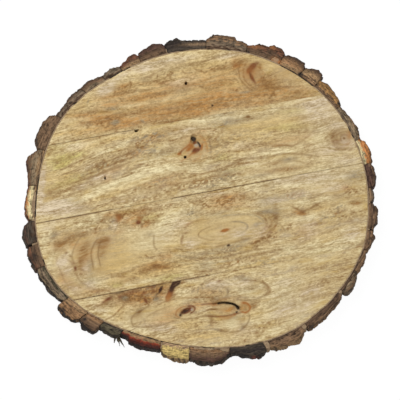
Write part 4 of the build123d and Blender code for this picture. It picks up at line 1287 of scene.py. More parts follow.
BARK_FINISHES = (
    bark("dark", "SAWDUST WARM_BROWN GREY_BROWN DARK_BROWN", 0.4, 0.62),
    bark("maroon", "MAROON MAROON BARK_BROWN MAROON"),
    bark("orange", "CREAM_BARK ORANGE_BARK ORANGE_BARK WARM_BROWN", 0.34, 0.8),
    bark("brown", "GREY_BROWN GREY_TAN WARM_BROWN BARK_BROWN", 0.3, 0.7),
    bark("golden", "BARK_BROWN GOLDEN_BARK GOLDEN_BARK BARK_BROWN", 0.34, 0.6),
    bark("brown", "WARM_BROWN TAN DARK_BROWN DARK_BROWN", 0.25, 0.66),
    bark("brown", "TAN LIGHT_BROWN DARK_BROWN DARK_BROWN", 0.3, 0.6),
    bark("russet", "BARK_BROWN DARK_BROWN RUSSET DARK_BROWN", 0.2, 0.6),
    bark("grey", "DARK_BROWN GREY_BROWN WARM_BROWN DARK_BROWN", 0.2, 0.6),
    bark("slate", "CHARCOAL COAL CHARCOAL COAL", 0.3, 0.8),
    bark("russet", "BARK_BROWN DARK_BROWN MAROON MAROON", 0.34, 0.6),
    bark("russet", "TAN BARK_BROWN RUSSET RUSSET", 0.3, 0.46),
    bark("grey", "DARK_BROWN GREY_BROWN GREY_BROWN GREY_BROWN", 0.3, 0.7),
    bark("grey", "GREY_TAN BARK_BROWN DARK_BROWN DARK_BROWN", 0.34, 0.6),
    bark("grey", "DARK_BROWN GREY_BROWN DARK_BROWN DARK_BROWN", 0.3, 0.72),
    bark("brown", "BARK_BROWN BARK_BROWN BARK_BROWN DARK_BROWN", 0.25, 0.7),
    bark("brown", "TAN GREY_TAN BARK_BROWN RUSSET", 0.3, 0.66),
    bark("cream", "TAN CREAM_BARK ORANGE_BARK RUSSET", 0.24, 0.76),
    bark("dark", "DARK_BROWN CHARCOAL MAROON CHARCOAL", 0.25, 0.74),
    bark("dark", "BARK_BROWN DARK_BROWN RUSSET CHARCOAL", 0.25, 0.72),
    bark("slate", "MOSS GREY_BROWN GREY_TAN COAL", 0.3, 0.6),
    bark("brown", "TAN LIGHT_BROWN LIGHT_BROWN COAL", 0.3, 0.75, 0.7),
    bark("brown", "LIGHT_BROWN BARK_BROWN DARK_BROWN COAL", 0.3, 0.62, 0.8),
    bark("grey", "CHARCOAL MOSS MOSS CHARCOAL", 0.3, 0.7, 1.3),
    bark("red", "TAN RED_BARK DARK_RED COAL", 0.32, 0.56),
    bark("yellow", "SAWDUST YELLOW_BARK YELLOW_BARK TAN", 0.2, 0.7, 0.6),
    bark("brown", "LIGHT_BROWN BARK_BROWN MAROON CHARCOAL", 0.28, 0.62, 0.8),
    bark("dark", "CHARCOAL COAL CHARCOAL COAL", 0.3, 0.7),
    bark("brown", "DARK_BROWN BARK_BROWN WARM_BROWN TAN", 0.24, 0.7),
    bark("dark", "DARK_BROWN DARK_BROWN BARK_BROWN WARM_BROWN", 0.3, 0.72),
    bark("brown", "DARK_BROWN GREY_TAN BARK_BROWN GREY_BROWN", 0.34, 0.6, 1.3),
    bark("maroon", "DARK_BROWN BARK_BROWN WARM_BROWN WARM_BROWN", 0.3, 0.64),
    bark("dark", "WARM_BROWN DARK_BROWN WARM_BROWN WARM_BROWN", 0.24, 0.6),
    bark("dark", "WARM_BROWN DARK_BROWN BARK_BROWN BARK_BROWN", 0.24, 0.62),
)


def put(mesh: bpy.types.Mesh, name: str, values: Array) -> None:
    """Store a value or a vector at each point of a mesh.

    Args:
        mesh: the mesh.
        name: the attribute's name.
        values: one value or three for each point.
    """
    vector = values.ndim == 2
    made = mesh.attributes.new(name, "FLOAT_VECTOR" if vector else "FLOAT", "POINT")
    made.data.foreach_set("vector" if vector else "value", values.astype(np.float32).ravel())


def points_of(mesh: bpy.types.Mesh) -> Array:
    """Points of a mesh in millimetres."""
    flat = np.zeros(len(mesh.vertices) * 3, np.float32)
    mesh.vertices.foreach_get("co", flat)
    return flat.reshape(-1, 3).astype(float) / MM


def set_points(mesh: bpy.types.Mesh, points: Array) -> None:
    """Put a mesh's points at places in millimetres."""
    mesh.vertices.foreach_set("co", (points * MM).astype(np.float32).ravel())
    mesh.update()


def normals_of(mesh: bpy.types.Mesh) -> Array:
    """Outward direction at each point of a mesh."""
    flat = np.zeros(len(mesh.vertices) * 3, np.float32)
    mesh.vertex_normals.foreach_get("vector", flat)
    return flat.reshape(-1, 3).astype(float)


def to_mesh(shape: bmesh.types.BMesh, name: str) -> bpy.types.Mesh:
    """Turn a bmesh into a mesh and free it."""
    mesh = bpy.data.meshes.new(name)
    shape.to_mesh(mesh)
    shape.free()
    return mesh


def thicken(shape: bmesh.types.BMesh, drop: float) -> None:
    """Make a flat shape a slab: a copy of its faces goes down, with walls between."""
    made = bmesh.ops.extrude_face_region(shape, geom=shape.faces[:], use_keep_orig=True)
    below = [item for item in made["geom"] if isinstance(item, bmesh.types.BMVert)]
    bmesh.ops.translate(shape, verts=below, vec=(0, 0, -drop))


def store_figure(
    mesh: bpy.types.Mesh, marks: tuple, points: Array, number: int, stain: Array | None = None,
) -> None:
    """Store the wood's figure on a mesh: its fibres, the cover of each tone and the calm areas.

    Args:
        mesh: the mesh.
        marks: patches and strokes, in places of the view.
        points: the mesh's points in millimetres.
        number: the plank's number, which picks a stretch of the fibres' pattern.
        stain: cover of dark glue in the wood, where there is any.
    """
    x, y, z = points.T
    along, line = fibre_lines(x, y)
    offset = WOOD_SHIFT * number
    put(mesh, "flow", np.stack([along + offset, line + offset, z], 1))
    found = covers(marks, FACE_TONES, x, y)
    if stain is not None:
        found[Tone.LINE] = np.maximum(found[Tone.LINE], stain)
    for tone, share in found.items():
        put(mesh, tone_name(tone), share)
    put(mesh, "calm", calm_share(x, y))


def show(
    mesh: bpy.types.Mesh, name: str, material: bpy.types.Material, smooth: bool = True,
) -> bpy.types.Object:
    """Make a mesh a finished piece.

    Args:
        mesh: the mesh, with its place in its points.
        name: the piece's name.
        material: its finish.
        smooth: whether its faces are shaded smooth.

    Returns:
        The piece.
    """
    mesh.materials.clear()
    mesh.materials.append(material)
    mesh.polygons.foreach_set("use_smooth", np.full(len(mesh.polygons), smooth))
    piece = bpy.data.objects.new(name, mesh)
    bpy.context.scene.collection.objects.link(piece)
    return piece


def seat(piece: bpy.types.Object, node: str) -> bpy.types.Object:
    """Let a piece stand for its solid: on the same body, hiding the solid."""
    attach(piece, ROOT)
    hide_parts(node)
    LOG.info("%s: %d faces, stands for %s", piece.name, len(piece.data.polygons), node)
    return piece


def merged_copy(node: str) -> bmesh.types.BMesh:
    """Copy of a solid's mesh with its loose triangles joined."""
    shape = bmesh.new()
    shape.from_mesh(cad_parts[node].data)
    bmesh.ops.remove_doubles(shape, verts=shape.verts, dist=1e-6)
    return shape


def remeshed(shape: bmesh.types.BMesh, name: str, cell: float) -> bpy.types.Mesh:
    """Give a closed shape an even skin of small faces.

    Args:
        shape: the shape, which is freed.
        name: the new mesh's name.
        cell: size of the faces in millimetres.

    Returns:
        The mesh, with nothing left to apply.
    """
    rough = to_mesh(shape, f"{name}_rough")
    holder = bpy.data.objects.new(f"{name}_rough", rough)
    bpy.context.scene.collection.objects.link(holder)
    modifier = holder.modifiers.new("skin", "REMESH")
    modifier.mode = "VOXEL"
    modifier.voxel_size = cell * MM
    graph = bpy.context.evaluated_depsgraph_get()
    mesh = bpy.data.meshes.new_from_object(holder.evaluated_get(graph))
    mesh.name = name
    bpy.data.objects.remove(holder)
    bpy.data.meshes.remove(rough)
    return mesh


@dataclass
class Rim:
    """Edge of the planks, read from the bed that lies round it."""

    steps: int = 1440
    smoothing: int = 13
    angles: Array = field(init=False)
    radii: Array = field(init=False)

    def __post_init__(self) -> None:
        """Read the bed's inner wall: its nearest points in narrow sectors."""
        points = points_of(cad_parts["filler_bed"].data)
        angle = np.degrees(np.arctan2(points[:, 1], points[:, 0])) % 360
        radius = np.hypot(points[:, 0], points[:, 1])
        order = np.argsort(angle)
        angle, radius = angle[order], radius[order]
        sectors = np.floor(angle).astype(int)
        near = []
        for sector in range(360):
            inside = np.flatnonzero(sectors == sector)
            if len(inside):
                near.append(inside[np.argmin(radius[inside])])
        self.angles = np.linspace(0, 360, self.steps + 1)
        rough = np.interp(self.angles, angle[near], radius[near], period=360)
        half = self.smoothing // 2
        padded = np.concatenate([rough[-half - 1:-1], rough, rough[1:half + 1]])
        self.radii = np.convolve(padded, np.ones(self.smoothing) / self.smoothing, "valid")

    def radius(self, angle: Array) -> Array:
        """Distance of the planks' edge from the middle, at angles in degrees."""
        return np.interp(np.asarray(angle) % 360, self.angles, self.radii)

    def outline(self) -> Array:
        """Points of the edge in grain millimetres."""
        turn = np.radians(self.angles[:-1])
        along, across = to_grain(self.radii[:-1] * np.cos(turn), self.radii[:-1] * np.sin(turn))
        return np.stack([along, across], 1)


@dataclass(frozen=True)
class Flaw:
    """Pit in the face: a hole, a hollow or a point of the open crack."""

    x: float
    y: float
    length: float
    width: float
    depth: float
    lean: float = 0.0
    wall: float = 2.5

    def sink(self, x: Array, y: Array) -> Array:
        """How far the face drops at each place in the view, in millimetres."""
        shape = Patch(self.x, self.y, self.length, self.width, Tone.HOLE_SHADE, self.depth, self.lean, self.wall)
        return shape.cover(x, y)


FLAWS = {
    1: (Flaw(186, 83, 1.3, 1.6, 4.0),),
    2: (
        Flaw(193.5, 138.5, 2.8, 4.6, 3.4, -10),
        Flaw(196, 145.5, 3.6, 4.6, 1.0, 30, 1.5),
        Flaw(136.5, 130, 2.2, 1.6, 3.6, 30),
        Flaw(185, 157, 1.3, 1.2, 3.6),
        Flaw(105, 178, 0.9, 1.4, 3.0),
    ),
    3: (Flaw(228.7, 245, 1.4, 0.9, 0.6),),
    4: (
        Flaw(240, 308, 2.2, 2.0, 2.2, 20, 1.6),
        Flaw(185.5, 310.5, 5.0, 2.4, 0.5, 20, 1.5),
    ),
}
CRACK = Stroke(
    ((212, 303.5), (219, 302.4), (226, 302.2), (232, 303.4), (237, 306), (240, 309)), Tone.HOLE_SHADE, 2.6, 0.7,
)


@dataclass(frozen=True)
class Seam:
    """Joint between two planks: how dark its glue shows, in stretches from left to right of the view."""

    number: int
    stretches: tuple[tuple[float, float, float], ...]

    def dark(self, right: Array) -> Array:
        """Cover of dark glue at places in the view."""
        found = np.zeros_like(right)
        for start, end, weight in self.stretches:
            part = smooth_step(right, start - 6, start + 6) * smooth_step(-right, -end - 6, -end + 6)
            found = np.maximum(found, weight * part)
        return found


SEAMS = (
    Seam(1, ((30, 134, 0.62),)),
    Seam(2, ((30, 115, 0.9), (115, 170, 0.4), (170, 280, 0.95), (280, 375, 0.5))),
    Seam(3, ((60, 167, 1.0), (167, 210, 0.8), (210, 300, 0.12))),
)


@dataclass
class Plank:
    """One of the four planks: an even grid over its face, made a slab, with its flaws sunk in."""

    number: int
    marks: tuple
    rim: Rim
    finish: PlankFinish
    cell: float = 0.85
    arris: float = 0.35
    corner: float = 0.14

    @property
    def name(self) -> str:
        """The plank's node name."""
        return f"plank_{self.number}"

    def reach(self) -> tuple[float, float]:
        """Lowest and highest millimetre across the grain that the solid covers."""
        points = points_of(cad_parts[self.name].data)
        across = to_grain(points[:, 0], points[:, 1])[1]
        return float(across.min()), float(across.max())

    def chord(self, across: Array) -> tuple[Array, Array]:
        """Left and right ends of the board's outline at places across the grain."""
        line = self.rim.outline()
        left, right = line[line[:, 0] < 0], line[line[:, 0] >= 0]
        left, right = left[np.argsort(left[:, 1])], right[np.argsort(right[:, 1])]
        return np.interp(across, left[:, 1], left[:, 0]), np.interp(across, right[:, 1], right[:, 0])

    def border(self, low: float, high: float, side: float) -> tuple[Callable, Callable, Callable, Callable]:
        """Four border lines of an outer plank, as functions of a share from zero to one.

        Args:
            low: lowest place across the grain.
            high: highest place across the grain.
            side: 1 where the round edge is on the far side, -1 where it is on the near side.

        Returns:
            Lines along the seam, along the round edge, and up the left and right ends.
        """
        seam = low if side > 0 else high
        line = self.rim.outline()
        beyond = line[side * (line[:, 1] - seam) > 0]
        beyond = beyond[np.argsort(np.arctan2(side * beyond[:, 1], -beyond[:, 0]))]
        start, end = self.chord(np.array([seam]))
        curve = np.vstack([[start[0], seam], beyond, [end[0], seam]])
        length = np.concatenate([[0], np.cumsum(np.hypot(*np.diff(curve, axis=0).T))])
        share = length / length[-1]

        def along_curve(place: Array) -> Array:
            """Points of the round edge at shares of its length."""
            return np.stack([np.interp(place, share, curve[:, k]) for k in (0, 1)], -1)

        def along_seam(place: Array) -> Array:
            """Points of the seam."""
            return np.stack([start[0] + (end[0] - start[0]) * place, np.full_like(place, seam)], -1)

        return (
            along_seam,
            lambda place: along_curve(self.corner + (1 - 2 * self.corner) * place),
            lambda place: along_curve(self.corner * place),
            lambda place: along_curve(1 - self.corner * place),
        )

    def spread(self, along: Array, up: Array) -> Array:
        """Put a grid's shares on the plank's face.

        Args:
            along: shares from the left to the right.
            up: shares across the grain.

        Returns:
            Places in grain millimetres.
        """
        low, high = self.reach()
        if self.number in (2, 3):
            across = low + (high - low) * up
            left, right = self.chord(across)
            return np.stack([left + (right - left) * along, across], -1)
        side = 1.0 if self.number == 1 else -1.0
        seam, edge, left, right = self.border(low, high, side)
        up = up if side > 0 else 1 - up
        lower, upper = seam(along), edge(along)
        start, end = left(up), right(up)
        flat = lower * (1 - up)[:, None] + upper * up[:, None]
        flat += start * (1 - along)[:, None] + end * along[:, None]
        corners = [line(np.array([s]))[0] for line in (seam, edge) for s in (0.0, 1.0)]
        for corner, weight in zip(corners, (
            (1 - along) * (1 - up), along * (1 - up), (1 - along) * up, along * up,
        )):
            flat -= corner * weight[:, None]
        return flat

    def face(self) -> bmesh.types.BMesh:
        """Grid over the plank's face, finer round its flaws."""
        low, high = self.reach()
        widest = {1: low, 4: high}.get(self.number, (low + high) / 2)
        left, right = self.chord(np.array([widest]))
        columns = int((right[0] - left[0]) / self.cell)
        rows = int((high - low) / self.cell)
        shape = bmesh.new()
        bmesh.ops.create_grid(shape, x_segments=columns, y_segments=rows, size=1)
        flat = np.array([vertex.co for vertex in shape.verts])
        along, across = self.spread((flat[:, 0] + 1) / 2, (flat[:, 1] + 1) / 2).T
        x, y = from_grain(along, across)
        for vertex, px, py in zip(shape.verts, x, y):
            vertex.co = (px * MM, py * MM, THICKNESS * MM)
        self.refine(shape)
        return shape

    def refine(self, shape: bmesh.types.BMesh) -> None:
        """Cut the grid finer round each flaw and along the crack."""
        spots = [(flaw.x, flaw.y, max(flaw.length, flaw.width) + 1.2) for flaw in FLAWS[self.number]]
        if self.number == 4:
            spots += [(x, y, 2.2) for x, y in CRACK.path()[::2]]
        points = np.array([vertex.co for vertex in shape.verts]) / MM
        right, down = to_seen(points[:, 0], points[:, 1])
        close = np.zeros(len(points), bool)
        for x, y, reach in spots:
            close |= np.hypot(right - x, down - y) < reach
        shape.verts.ensure_lookup_table()
        edges = [e for e in shape.edges if close[e.verts[0].index] and close[e.verts[1].index]]
        if edges:
            bmesh.ops.subdivide_edges(shape, edges=edges, cuts=3, use_grid_fill=True)

    def slab(self) -> bpy.types.Mesh:
        """Give the face its thickness."""
        shape = self.face()
        thicken(shape, THICKNESS * MM)
        bmesh.ops.recalc_face_normals(shape, faces=shape.faces[:])
        return to_mesh(shape, self.name)

    def joints(self, across: Array) -> list[tuple[Seam, Array]]:
        """The joints beside the plank, each with the distance to it from places across the grain."""
        low, high = self.reach()
        gaps = (high - across, across - low)[self.number == 1:]
        return list(zip(SEAMS[max(self.number - 2, 0):self.number], gaps))

    def relief(self, points: Array) -> Array:
        """Ease the face's edges and sink its flaws.

        Args:
            points: the slab's points in millimetres.

        Returns:
            The points, moved up or down.
        """
        x, y, z = points.T.copy()
        along, across = to_grain(x, y)
        right, down = to_seen(x, y)
        edge = self.rim.radius(np.degrees(np.arctan2(y, x))) - np.hypot(x, y)
        sink = self.arris * np.exp(-((np.clip(edge, 0, None) / 0.7) ** 2))
        for seam, gap in self.joints(across):
            sink += self.arris * seam.dark(right) * np.exp(-((np.clip(gap, 0, None) / 0.6) ** 2))
        sink += 0.03 * (1 + Ripple(31).at(along / 30, across / 6)) * smooth_step(edge, 0, 8)
        top = z > THICKNESS / 2
        pits = np.zeros_like(x)
        for flaw in FLAWS[self.number]:
            pits = np.maximum(pits, flaw.sink(right, down))
        if self.number == 4:
            pits = np.maximum(pits, CRACK.cover(right, down))
        z = np.where(top, z - sink - pits, z + sink)
        return np.stack([x, y, z], 1)

    def stain(self, x: Array, y: Array) -> Array:
        """Cover of the line that dark glue leaves in the wood beside a joint."""
        right = to_seen(x, y)[0]
        found = np.zeros_like(x)
        for seam, gap in self.joints(to_grain(x, y)[1]):
            found = np.maximum(found, 0.8 * seam.dark(right) * np.exp(-((np.clip(gap, 0, None) / 0.5) ** 2)))
        return found

    def build(self) -> bpy.types.Object:
        """Build the plank, store its figure on its points, and dress it.

        Returns:
            The finished piece.
        """
        mesh = self.slab()
        points = self.relief(points_of(mesh))
        set_points(mesh, points)
        store_figure(mesh, self.marks, points, self.number, self.stain(points[:, 0], points[:, 1]))
        piece = show(mesh, f"{self.name}_wood", self.finish.material(f"{self.name}_finish"), smooth=False)
        return seat(piece, self.name)


@dataclass
class GlueLine:
    """Film of glue between two planks: dark and sunk in some stretches, full of wood dust in the others."""

    seam: Seam
    marks: tuple
    finish: PlankFinish
    cell: float = 1.0

    def build(self) -> bpy.types.Object:
        """Build the film as a long thin bar, a little uneven, and dress it.

        Returns:
            The finished piece.
        """
        node = f"glue_line_{self.seam.number}"
        points = points_of(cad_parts[node].data)
        along, across = to_grain(points[:, 0], points[:, 1])
        low, high = points[:, 2].min(), points[:, 2].max()
        shape = bmesh.new()
        bmesh.ops.create_grid(shape, x_segments=int(np.ptp(along) / self.cell), y_segments=2, size=1)
        thicken(shape, 1)
        bmesh.ops.recalc_face_normals(shape, faces=shape.faces[:])
        mesh = to_mesh(shape, node)
        flat = np.array([vertex.co for vertex in mesh.vertices])
        run = along.min() + np.ptp(along) * (flat[:, 0] + 1) / 2
        side = across.min() + np.ptp(across) * (flat[:, 1] + 1) / 2
        x, y = from_grain(run, side)
        dark = self.seam.dark(to_seen(x, y)[0])
        dark = np.clip(dark * (1 + 0.6 * Ripple(41 + self.seam.number).at(run / 4, side * 0)), 0, 1)
        crown = (THICKNESS - 0.04 - high) * (1 - smooth_step(dark, 0.0, 0.4))
        top = flat[:, 2] > -0.5
        z = np.where(top, high + crown + 0.08 * dark * Ripple(51).at(run / 3, side), low)
        points = np.stack([x, y, z], 1)
        set_points(mesh, points)
        put(mesh, "dark", dark)
        store_figure(mesh, self.marks, points, self.seam.number + 1)
        piece = show(mesh, f"{node}_film", self.finish.material(f"{node}_finish", film=True))
        return seat(piece, node)


# Painted shade in the bed's gaps, where the bark stands off: from and to in degrees anticlockwise from the
# right, and how dark
BED_GAP_SHADE = (
    (22, 32, 0.45), (46, 60, 0.6), (77, 88, 0.4), (92, 100, 0.3), (118, 127, 0.7), (142, 148, 0.4),
    (172, 187, 0.6), (202, 204, 0.8), (241, 254, 0.7), (254, 262, 0.9), (270, 275, 0.5), (286, 292, 0.4),
)


@dataclass
class FillerBed:
    """Bed of glue and sawdust round the planks, sunk and painted with shade in the gaps where the bark stands
    off.
    """

    rim: Rim
    gaps: tuple[tuple[float, float, float], ...]
    steps: int = 1440

    def build(self) -> bpy.types.Object:
        """Build the bed as a strip wrapped into a ring, and dress it.

        Returns:
            The finished piece.
        """
        node = "filler_bed"
        low, high = (corner.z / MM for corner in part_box(node))
        shape = bmesh.new()
        bmesh.ops.create_grid(shape, x_segments=self.steps, y_segments=3, size=1)
        thicken(shape, 1)
        for vertex in shape.verts:
            angle = 180 * (vertex.co.x + 1)
            radius = float(self.rim.radius(angle)) + BED_WIDTH * (vertex.co.y + 1) / 2
            height = high if vertex.co.z > -0.5 else low
            turn = math.radians(angle)
            vertex.co = Vector((radius * math.cos(turn), radius * math.sin(turn), height)) * MM
        bmesh.ops.remove_doubles(shape, verts=shape.verts, dist=1e-6)
        inner = [face for face in shape.faces if len(face.verts) == 4 and self.is_cap(face)]
        bmesh.ops.delete(shape, geom=inner, context="FACES")
        bmesh.ops.recalc_face_normals(shape, faces=shape.faces[:])
        mesh = to_mesh(shape, node)
        points = points_of(mesh)
        angle = np.degrees(np.arctan2(points[:, 1], points[:, 0])) % 360
        # Painted shade and a sunk top in the gaps
        dark = np.zeros(len(points))
        for start, end, weight in self.gaps:
            share = smooth_step(angle, start - 1, start + 1) * smooth_step(-angle, -end - 1, -end + 1)
            dark = np.maximum(dark, weight * share)
        uneven = Ripple(61, 256).at(angle / 1.6, 0 * angle)
        dark = np.clip(dark + 0.3 * uneven * (dark > 0.02), 0, 1)
        top = points[:, 2] > THICKNESS / 2
        crumbs = Ripple(62, 256).at(angle / 0.9, 0 * angle)
        points[:, 2] += np.where(top, 0.2 + 0.25 * crumbs - 0.9 * dark, 0)
        set_points(mesh, points)
        put(mesh, "dark", dark)
        piece = show(mesh, f"{node}_ring", DustFinish().material(f"{node}_finish"))
        return seat(piece, node)

    @staticmethod
    def is_cap(face: bmesh.types.BMFace) -> bool:
        """Whether a face closes the strip's two ends, now inside the ring."""
        across = [Vector((vertex.co.x, vertex.co.y)) for vertex in face.verts]
        middle = sum(across, Vector((0, 0))) / len(across)
        return all(abs(point.y) < 1e-7 and point.x > 0 for point in across) and abs(middle.y) < 1e-7


# Bark piece with frayed fibres, and each fibre's place in the view, turn in degrees and half its length
FRAYED_PIECE = 24
FRAYED_FIBRES = ((118.5, 338.5, -75, 6.0), (121.5, 339.5, -62, 7.5), (115.0, 337.0, -100, 4.0))


@dataclass
class BarkChip:
    """One piece of bark: its solid with an even skin, roughened, with layers and furrows."""

    number: int
    finish: BarkFinish
    rim: Rim
    cell: float = 0.62
    slot: float = 0.8

    @property
    def name(self) -> str:
        """The piece's node name."""
        return f"bark_chip_{self.number:02d}"

    def outer_reach(self, angle: Array, depth: Array) -> Array:
        """How deep the piece is from the bed to its skin, round the rim."""
        low = angle.min()
        slots = np.clip(((angle - low) / self.slot).astype(int), 0, None)
        reach = np.zeros(slots.max() + 1)
        np.maximum.at(reach, slots, depth)
        centres = low + self.slot * (np.arange(len(reach)) + 0.5)
        return np.interp(angle, centres, reach)

    def fibres(self, shape: bmesh.types.BMesh) -> None:
        """Add the frayed fibres that stand out of the piece's outer edge."""
        for right, down, turn, length in FRAYED_FIBRES:
            x, y = from_seen(right, down)
            place = Matrix.Translation(Vector((x, y, THICKNESS / 2)) * MM)
            swing = Matrix.Rotation(math.radians(turn), 4, "Z") @ Matrix.Rotation(math.radians(80), 4, "Y")
            bmesh.ops.create_cone(
                shape, cap_ends=True, segments=8, radius1=1.3 * MM, radius2=0.4 * MM, depth=2 * length * MM,
                matrix=place @ swing,
            )

    def build(self) -> bpy.types.Object:
        """Build the piece, roughen it, store its layers on its points, and dress it.

        Returns:
            The finished piece.
        """
        shape = merged_copy(self.name)
        if self.number == FRAYED_PIECE:
            self.fibres(shape)
        mesh = remeshed(shape, self.name, self.cell)
        points, normals = points_of(mesh), normals_of(mesh)
        x, y, z = points.T
        angle = np.degrees(np.arctan2(y, x)) % 360
        if np.ptp(angle) > 180:
            angle = np.where(angle > 180, angle - 360, angle)
        depth = np.hypot(x, y) - self.rim.radius(angle) - BED_WIDTH
        reach = self.outer_reach(angle, depth)
        layer = np.clip(depth / np.maximum(reach, 0.5), 0, 1)
        run = np.stack([np.radians(angle) * RIM_RADIUS, depth, z], 1)
        radial = np.stack([x, y], 1) / np.hypot(x, y)[:, None]
        outward = (normals[:, :2] * radial).sum(1)
        flat = np.abs(normals[:, 2])
        skin = np.clip(smooth_step(outward, 0.25, 0.7) * smooth_step(-flat, -0.85, -0.5), 0, 1)
        ends = smooth_step(1 - flat, 0.4, 0.8) * (1 - skin)
        furrow, lumps, grit = self.noises(run)
        pit = skin * smooth_step(furrow, 0.45, 0.85)
        push = skin * (0.3 - 0.75 * pit + 0.5 * lumps + 0.14 * grit) + 0.12 * ends
        push += (1 - skin) * (0.1 * grit + 0.12 * lumps) * smooth_step(depth, 0.2, 1.2)
        crumble = smooth_step(layer, 0.72, 1.0) * (1 - ends) * smooth_step(flat, 0.5, 0.9)
        push -= crumble * (0.25 + 0.35 * lumps)
        set_points(mesh, points + normals * push[:, None])
        put(mesh, "run", run + BARK_SHIFT * self.number)
        # Nearness to the upright sides, where the finish paints shade
        put(mesh, "edge", self.border(points, flat))
        put(mesh, "layer", layer)
        put(mesh, "skin", skin)
        # The finish paints shade where the skin is furrowed and the edge crumbled
        put(mesh, "pit", np.clip(0.75 * pit + 0.25 * crumble * (lumps < -0.3), 0, 1))
        for tone, share in covers(RIM_MARKS, RIM_TONES, x, y).items():
            put(mesh, tone_name(tone), share)
        piece = show(mesh, f"{self.name}_bark", self.finish.material(f"{self.name}_finish"))
        return seat(piece, self.name)

    @staticmethod
    def border(points: Array, flat: Array) -> Array:
        """How near each point lies to the piece's upright sides, seen from above: one at the sides, where the
        finish paints shade.
        """
        sides = np.flatnonzero(flat < 0.5)
        tree = kdtree.KDTree(len(sides))
        for place, index in enumerate(sides):
            tree.insert((points[index, 0], points[index, 1], 0), place)
        tree.balance()
        gaps = np.array([tree.find((x, y, 0))[2] for x, y in points[:, :2]])
        return np.exp(-((gaps / 1.3) ** 2))

    def noises(self, run: Array) -> tuple[Array, Array, Array]:
        """Furrows, lumps and grit at each point.

        Args:
            run: millimetres round the rim, out from the bed and up.

        Returns:
            Furrows from zero to one, lumps and grit from about -1 to 1.
        """
        shift = Vector((31.7 * self.number, 11.3, 5.1))
        furrow, lumps, grit = (np.zeros(len(run)) for _ in range(3))
        for place, (along, out, up) in enumerate(run):
            furrow[place] = 1 - abs(noise.noise(Vector((along / 6.5, out / 9, up / 15)) + shift)) * 2.4
            lumps[place] = noise.noise(Vector((along / 5.5, out / 3.5, up / 6)) + shift * 2)
            grit[place] = noise.noise(Vector((along, out, up)) / 1.1 + shift * 3)
        return np.clip(furrow, 0, 1), lumps * 1.8, grit * 1.8


# The one wad that is more orange than the others
ORANGE_WAD = 12


@dataclass
class FillerWad:
    """Wad of glue and sawdust between or behind bark pieces."""

    number: int
    finish: DustFinish
    cell: float = 0.5

    def build(self) -> bpy.types.Object:
        """Build the wad from its solid, with a lumpy skin.

        Returns:
            The finished piece.
        """
        node = f"filler_wad_{self.number:02d}"
        mesh = remeshed(merged_copy(node), node, self.cell)
        points, normals = points_of(mesh), normals_of(mesh)
        lumps = np.array([noise.noise(Vector(point) / 1.4) for point in points])
        broad = np.array([noise.noise(Vector(point) / 4.0) for point in points])
        set_points(mesh, points + normals * (0.3 * lumps + 0.5 * broad)[:, None])
        put(mesh, "dark", np.zeros(len(points)))
        piece = show(mesh, f"{node}_dust", self.finish.material(f"{node}_finish"))
        return seat(piece, node)


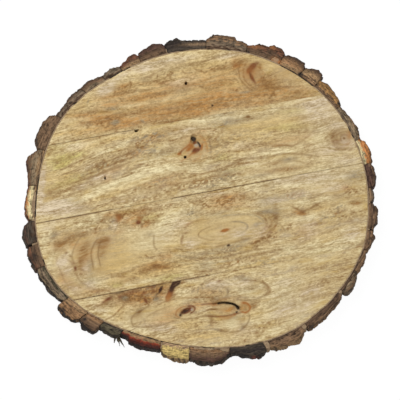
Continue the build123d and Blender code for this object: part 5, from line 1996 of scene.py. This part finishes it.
@dataclass
class Studio:
    """Pale floor, soft plain light and the camera."""

    lens: float = 1200.0
    sensor: float = 36.0
    sky: float = 0.62
    key_power: float = 26.0
    glow: float = 0.93

    def floor(self) -> None:
        """Lay a white floor that keeps a faint shadow."""
        shape = bmesh.new()
        bmesh.ops.create_grid(shape, x_segments=1, y_segments=1, size=3.0)
        graph = Graph("studio_floor")
        matt = graph.node("ShaderNodeBsdfDiffuse")
        matt.inputs["Color"].default_value = (0.9, 0.9, 0.9, 1)
        glow = graph.node("ShaderNodeEmission")
        glow.inputs["Strength"].default_value = 1.03
        path = graph.node("ShaderNodeLightPath")
        seen = graph.maths("MAXIMUM", path.outputs["Is Camera Ray"], path.outputs["Is Glossy Ray"])
        share = graph.times(seen, self.glow)
        mixed = graph.node("ShaderNodeMixShader")
        graph.feed(mixed.inputs[0], share)
        graph.feed(mixed.inputs[1], matt.outputs[0])
        graph.feed(mixed.inputs[2], glow.outputs[0])
        graph.feed(graph.node("ShaderNodeOutputMaterial").inputs["Surface"], mixed.outputs[0])
        show(to_mesh(shape, "floor"), "floor", graph.material)

    def world(self) -> None:
        """Light all round: plain white to the camera, softer on the object."""
        world = bpy.data.worlds.new("studio_light")
        world.use_nodes = True
        nodes, links = world.node_tree.nodes, world.node_tree.links
        back = nodes["Background"]
        back.inputs["Color"].default_value = (1, 1, 1, 1)
        path = nodes.new("ShaderNodeLightPath")
        seen = nodes.new("ShaderNodeMath")
        seen.operation = "MAXIMUM"
        links.new(path.outputs["Is Camera Ray"], seen.inputs[0])
        links.new(path.outputs["Is Glossy Ray"], seen.inputs[1])
        level = nodes.new("ShaderNodeMapRange")
        level.inputs["To Min"].default_value = self.sky
        level.inputs["To Max"].default_value = 1.0
        links.new(seen.outputs[0], level.inputs["Value"])
        links.new(level.outputs["Result"], back.inputs["Strength"])
        bpy.context.scene.world = world

    def lamp(self, name: str, place: Vector, power: float, size: float) -> None:
        """Hang one soft square lamp that shines on the board."""
        light = bpy.data.lights.new(name, "AREA")
        light.energy = power
        light.size = size
        lamp = bpy.data.objects.new(name, light)
        lamp.location = place
        lamp.rotation_euler = (-place).to_track_quat("-Z", "Y").to_euler()
        bpy.context.scene.collection.objects.link(lamp)

    def camera(self) -> None:
        """Set the camera at the view's tilt, one millimetre of the face to one point of the view."""
        data = bpy.data.cameras.new("camera")
        data.lens, data.sensor_width = self.lens, self.sensor
        distance = self.lens * VIEW_SIDE * MM / self.sensor
        tilt = math.radians(VIEW_TILT)
        back = Vector((0, -math.cos(tilt), math.sin(tilt)))
        up = Vector((0, math.sin(tilt), math.cos(tilt)))
        half = VIEW_SIDE / 2
        aim = Vector((0, 0, THICKNESS))
        aim += Vector((half - MIDDLE_SEEN[0], 0, 0)) + up * (MIDDLE_SEEN[1] - half)
        eye = bpy.data.objects.new("camera", data)
        eye.location = aim * MM + back * distance
        eye.rotation_euler = (-back).to_track_quat("-Z", "Y").to_euler()
        bpy.context.scene.collection.objects.link(eye)
        bpy.context.scene.camera = eye

    def build(self) -> None:
        """Set up the whole studio."""
        scene = bpy.context.scene
        scene.view_settings.view_transform = "Standard"
        self.floor()
        self.world()
        self.lamp("key_lamp", Vector((-1.1, 1.0, 2.0)), self.key_power, 1.4)
        self.camera()


def main() -> None:
    """Build the studio and every piece of the board, in order."""
    logging.basicConfig(level=logging.INFO, format="%(message)s", force=True)
    Studio().build()
    rim = Rim()
    marks = (PLANK_1_MARKS, PLANK_2_MARKS, PLANK_3_MARKS, PLANK_4_MARKS)
    for number, plank_marks in enumerate(marks, start=1):
        Plank(number, plank_marks, rim, PlankFinish()).build()
    for seam in SEAMS:
        GlueLine(seam, marks[seam.number], PlankFinish()).build()
    FillerBed(rim, BED_GAP_SHADE).build()
    for number, finish in enumerate(BARK_FINISHES, start=1):
        BarkChip(number, finish, rim).build()
    wads = [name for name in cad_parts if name.startswith("filler_wad")]
    for number in range(1, len(wads) + 1):
        plain = Tone.SAWDUST_ORANGE if number == ORANGE_WAD else Tone.SAWDUST
        FillerWad(number, DustFinish(plain=plain)).build()


if __name__ == "__main__":
    main()
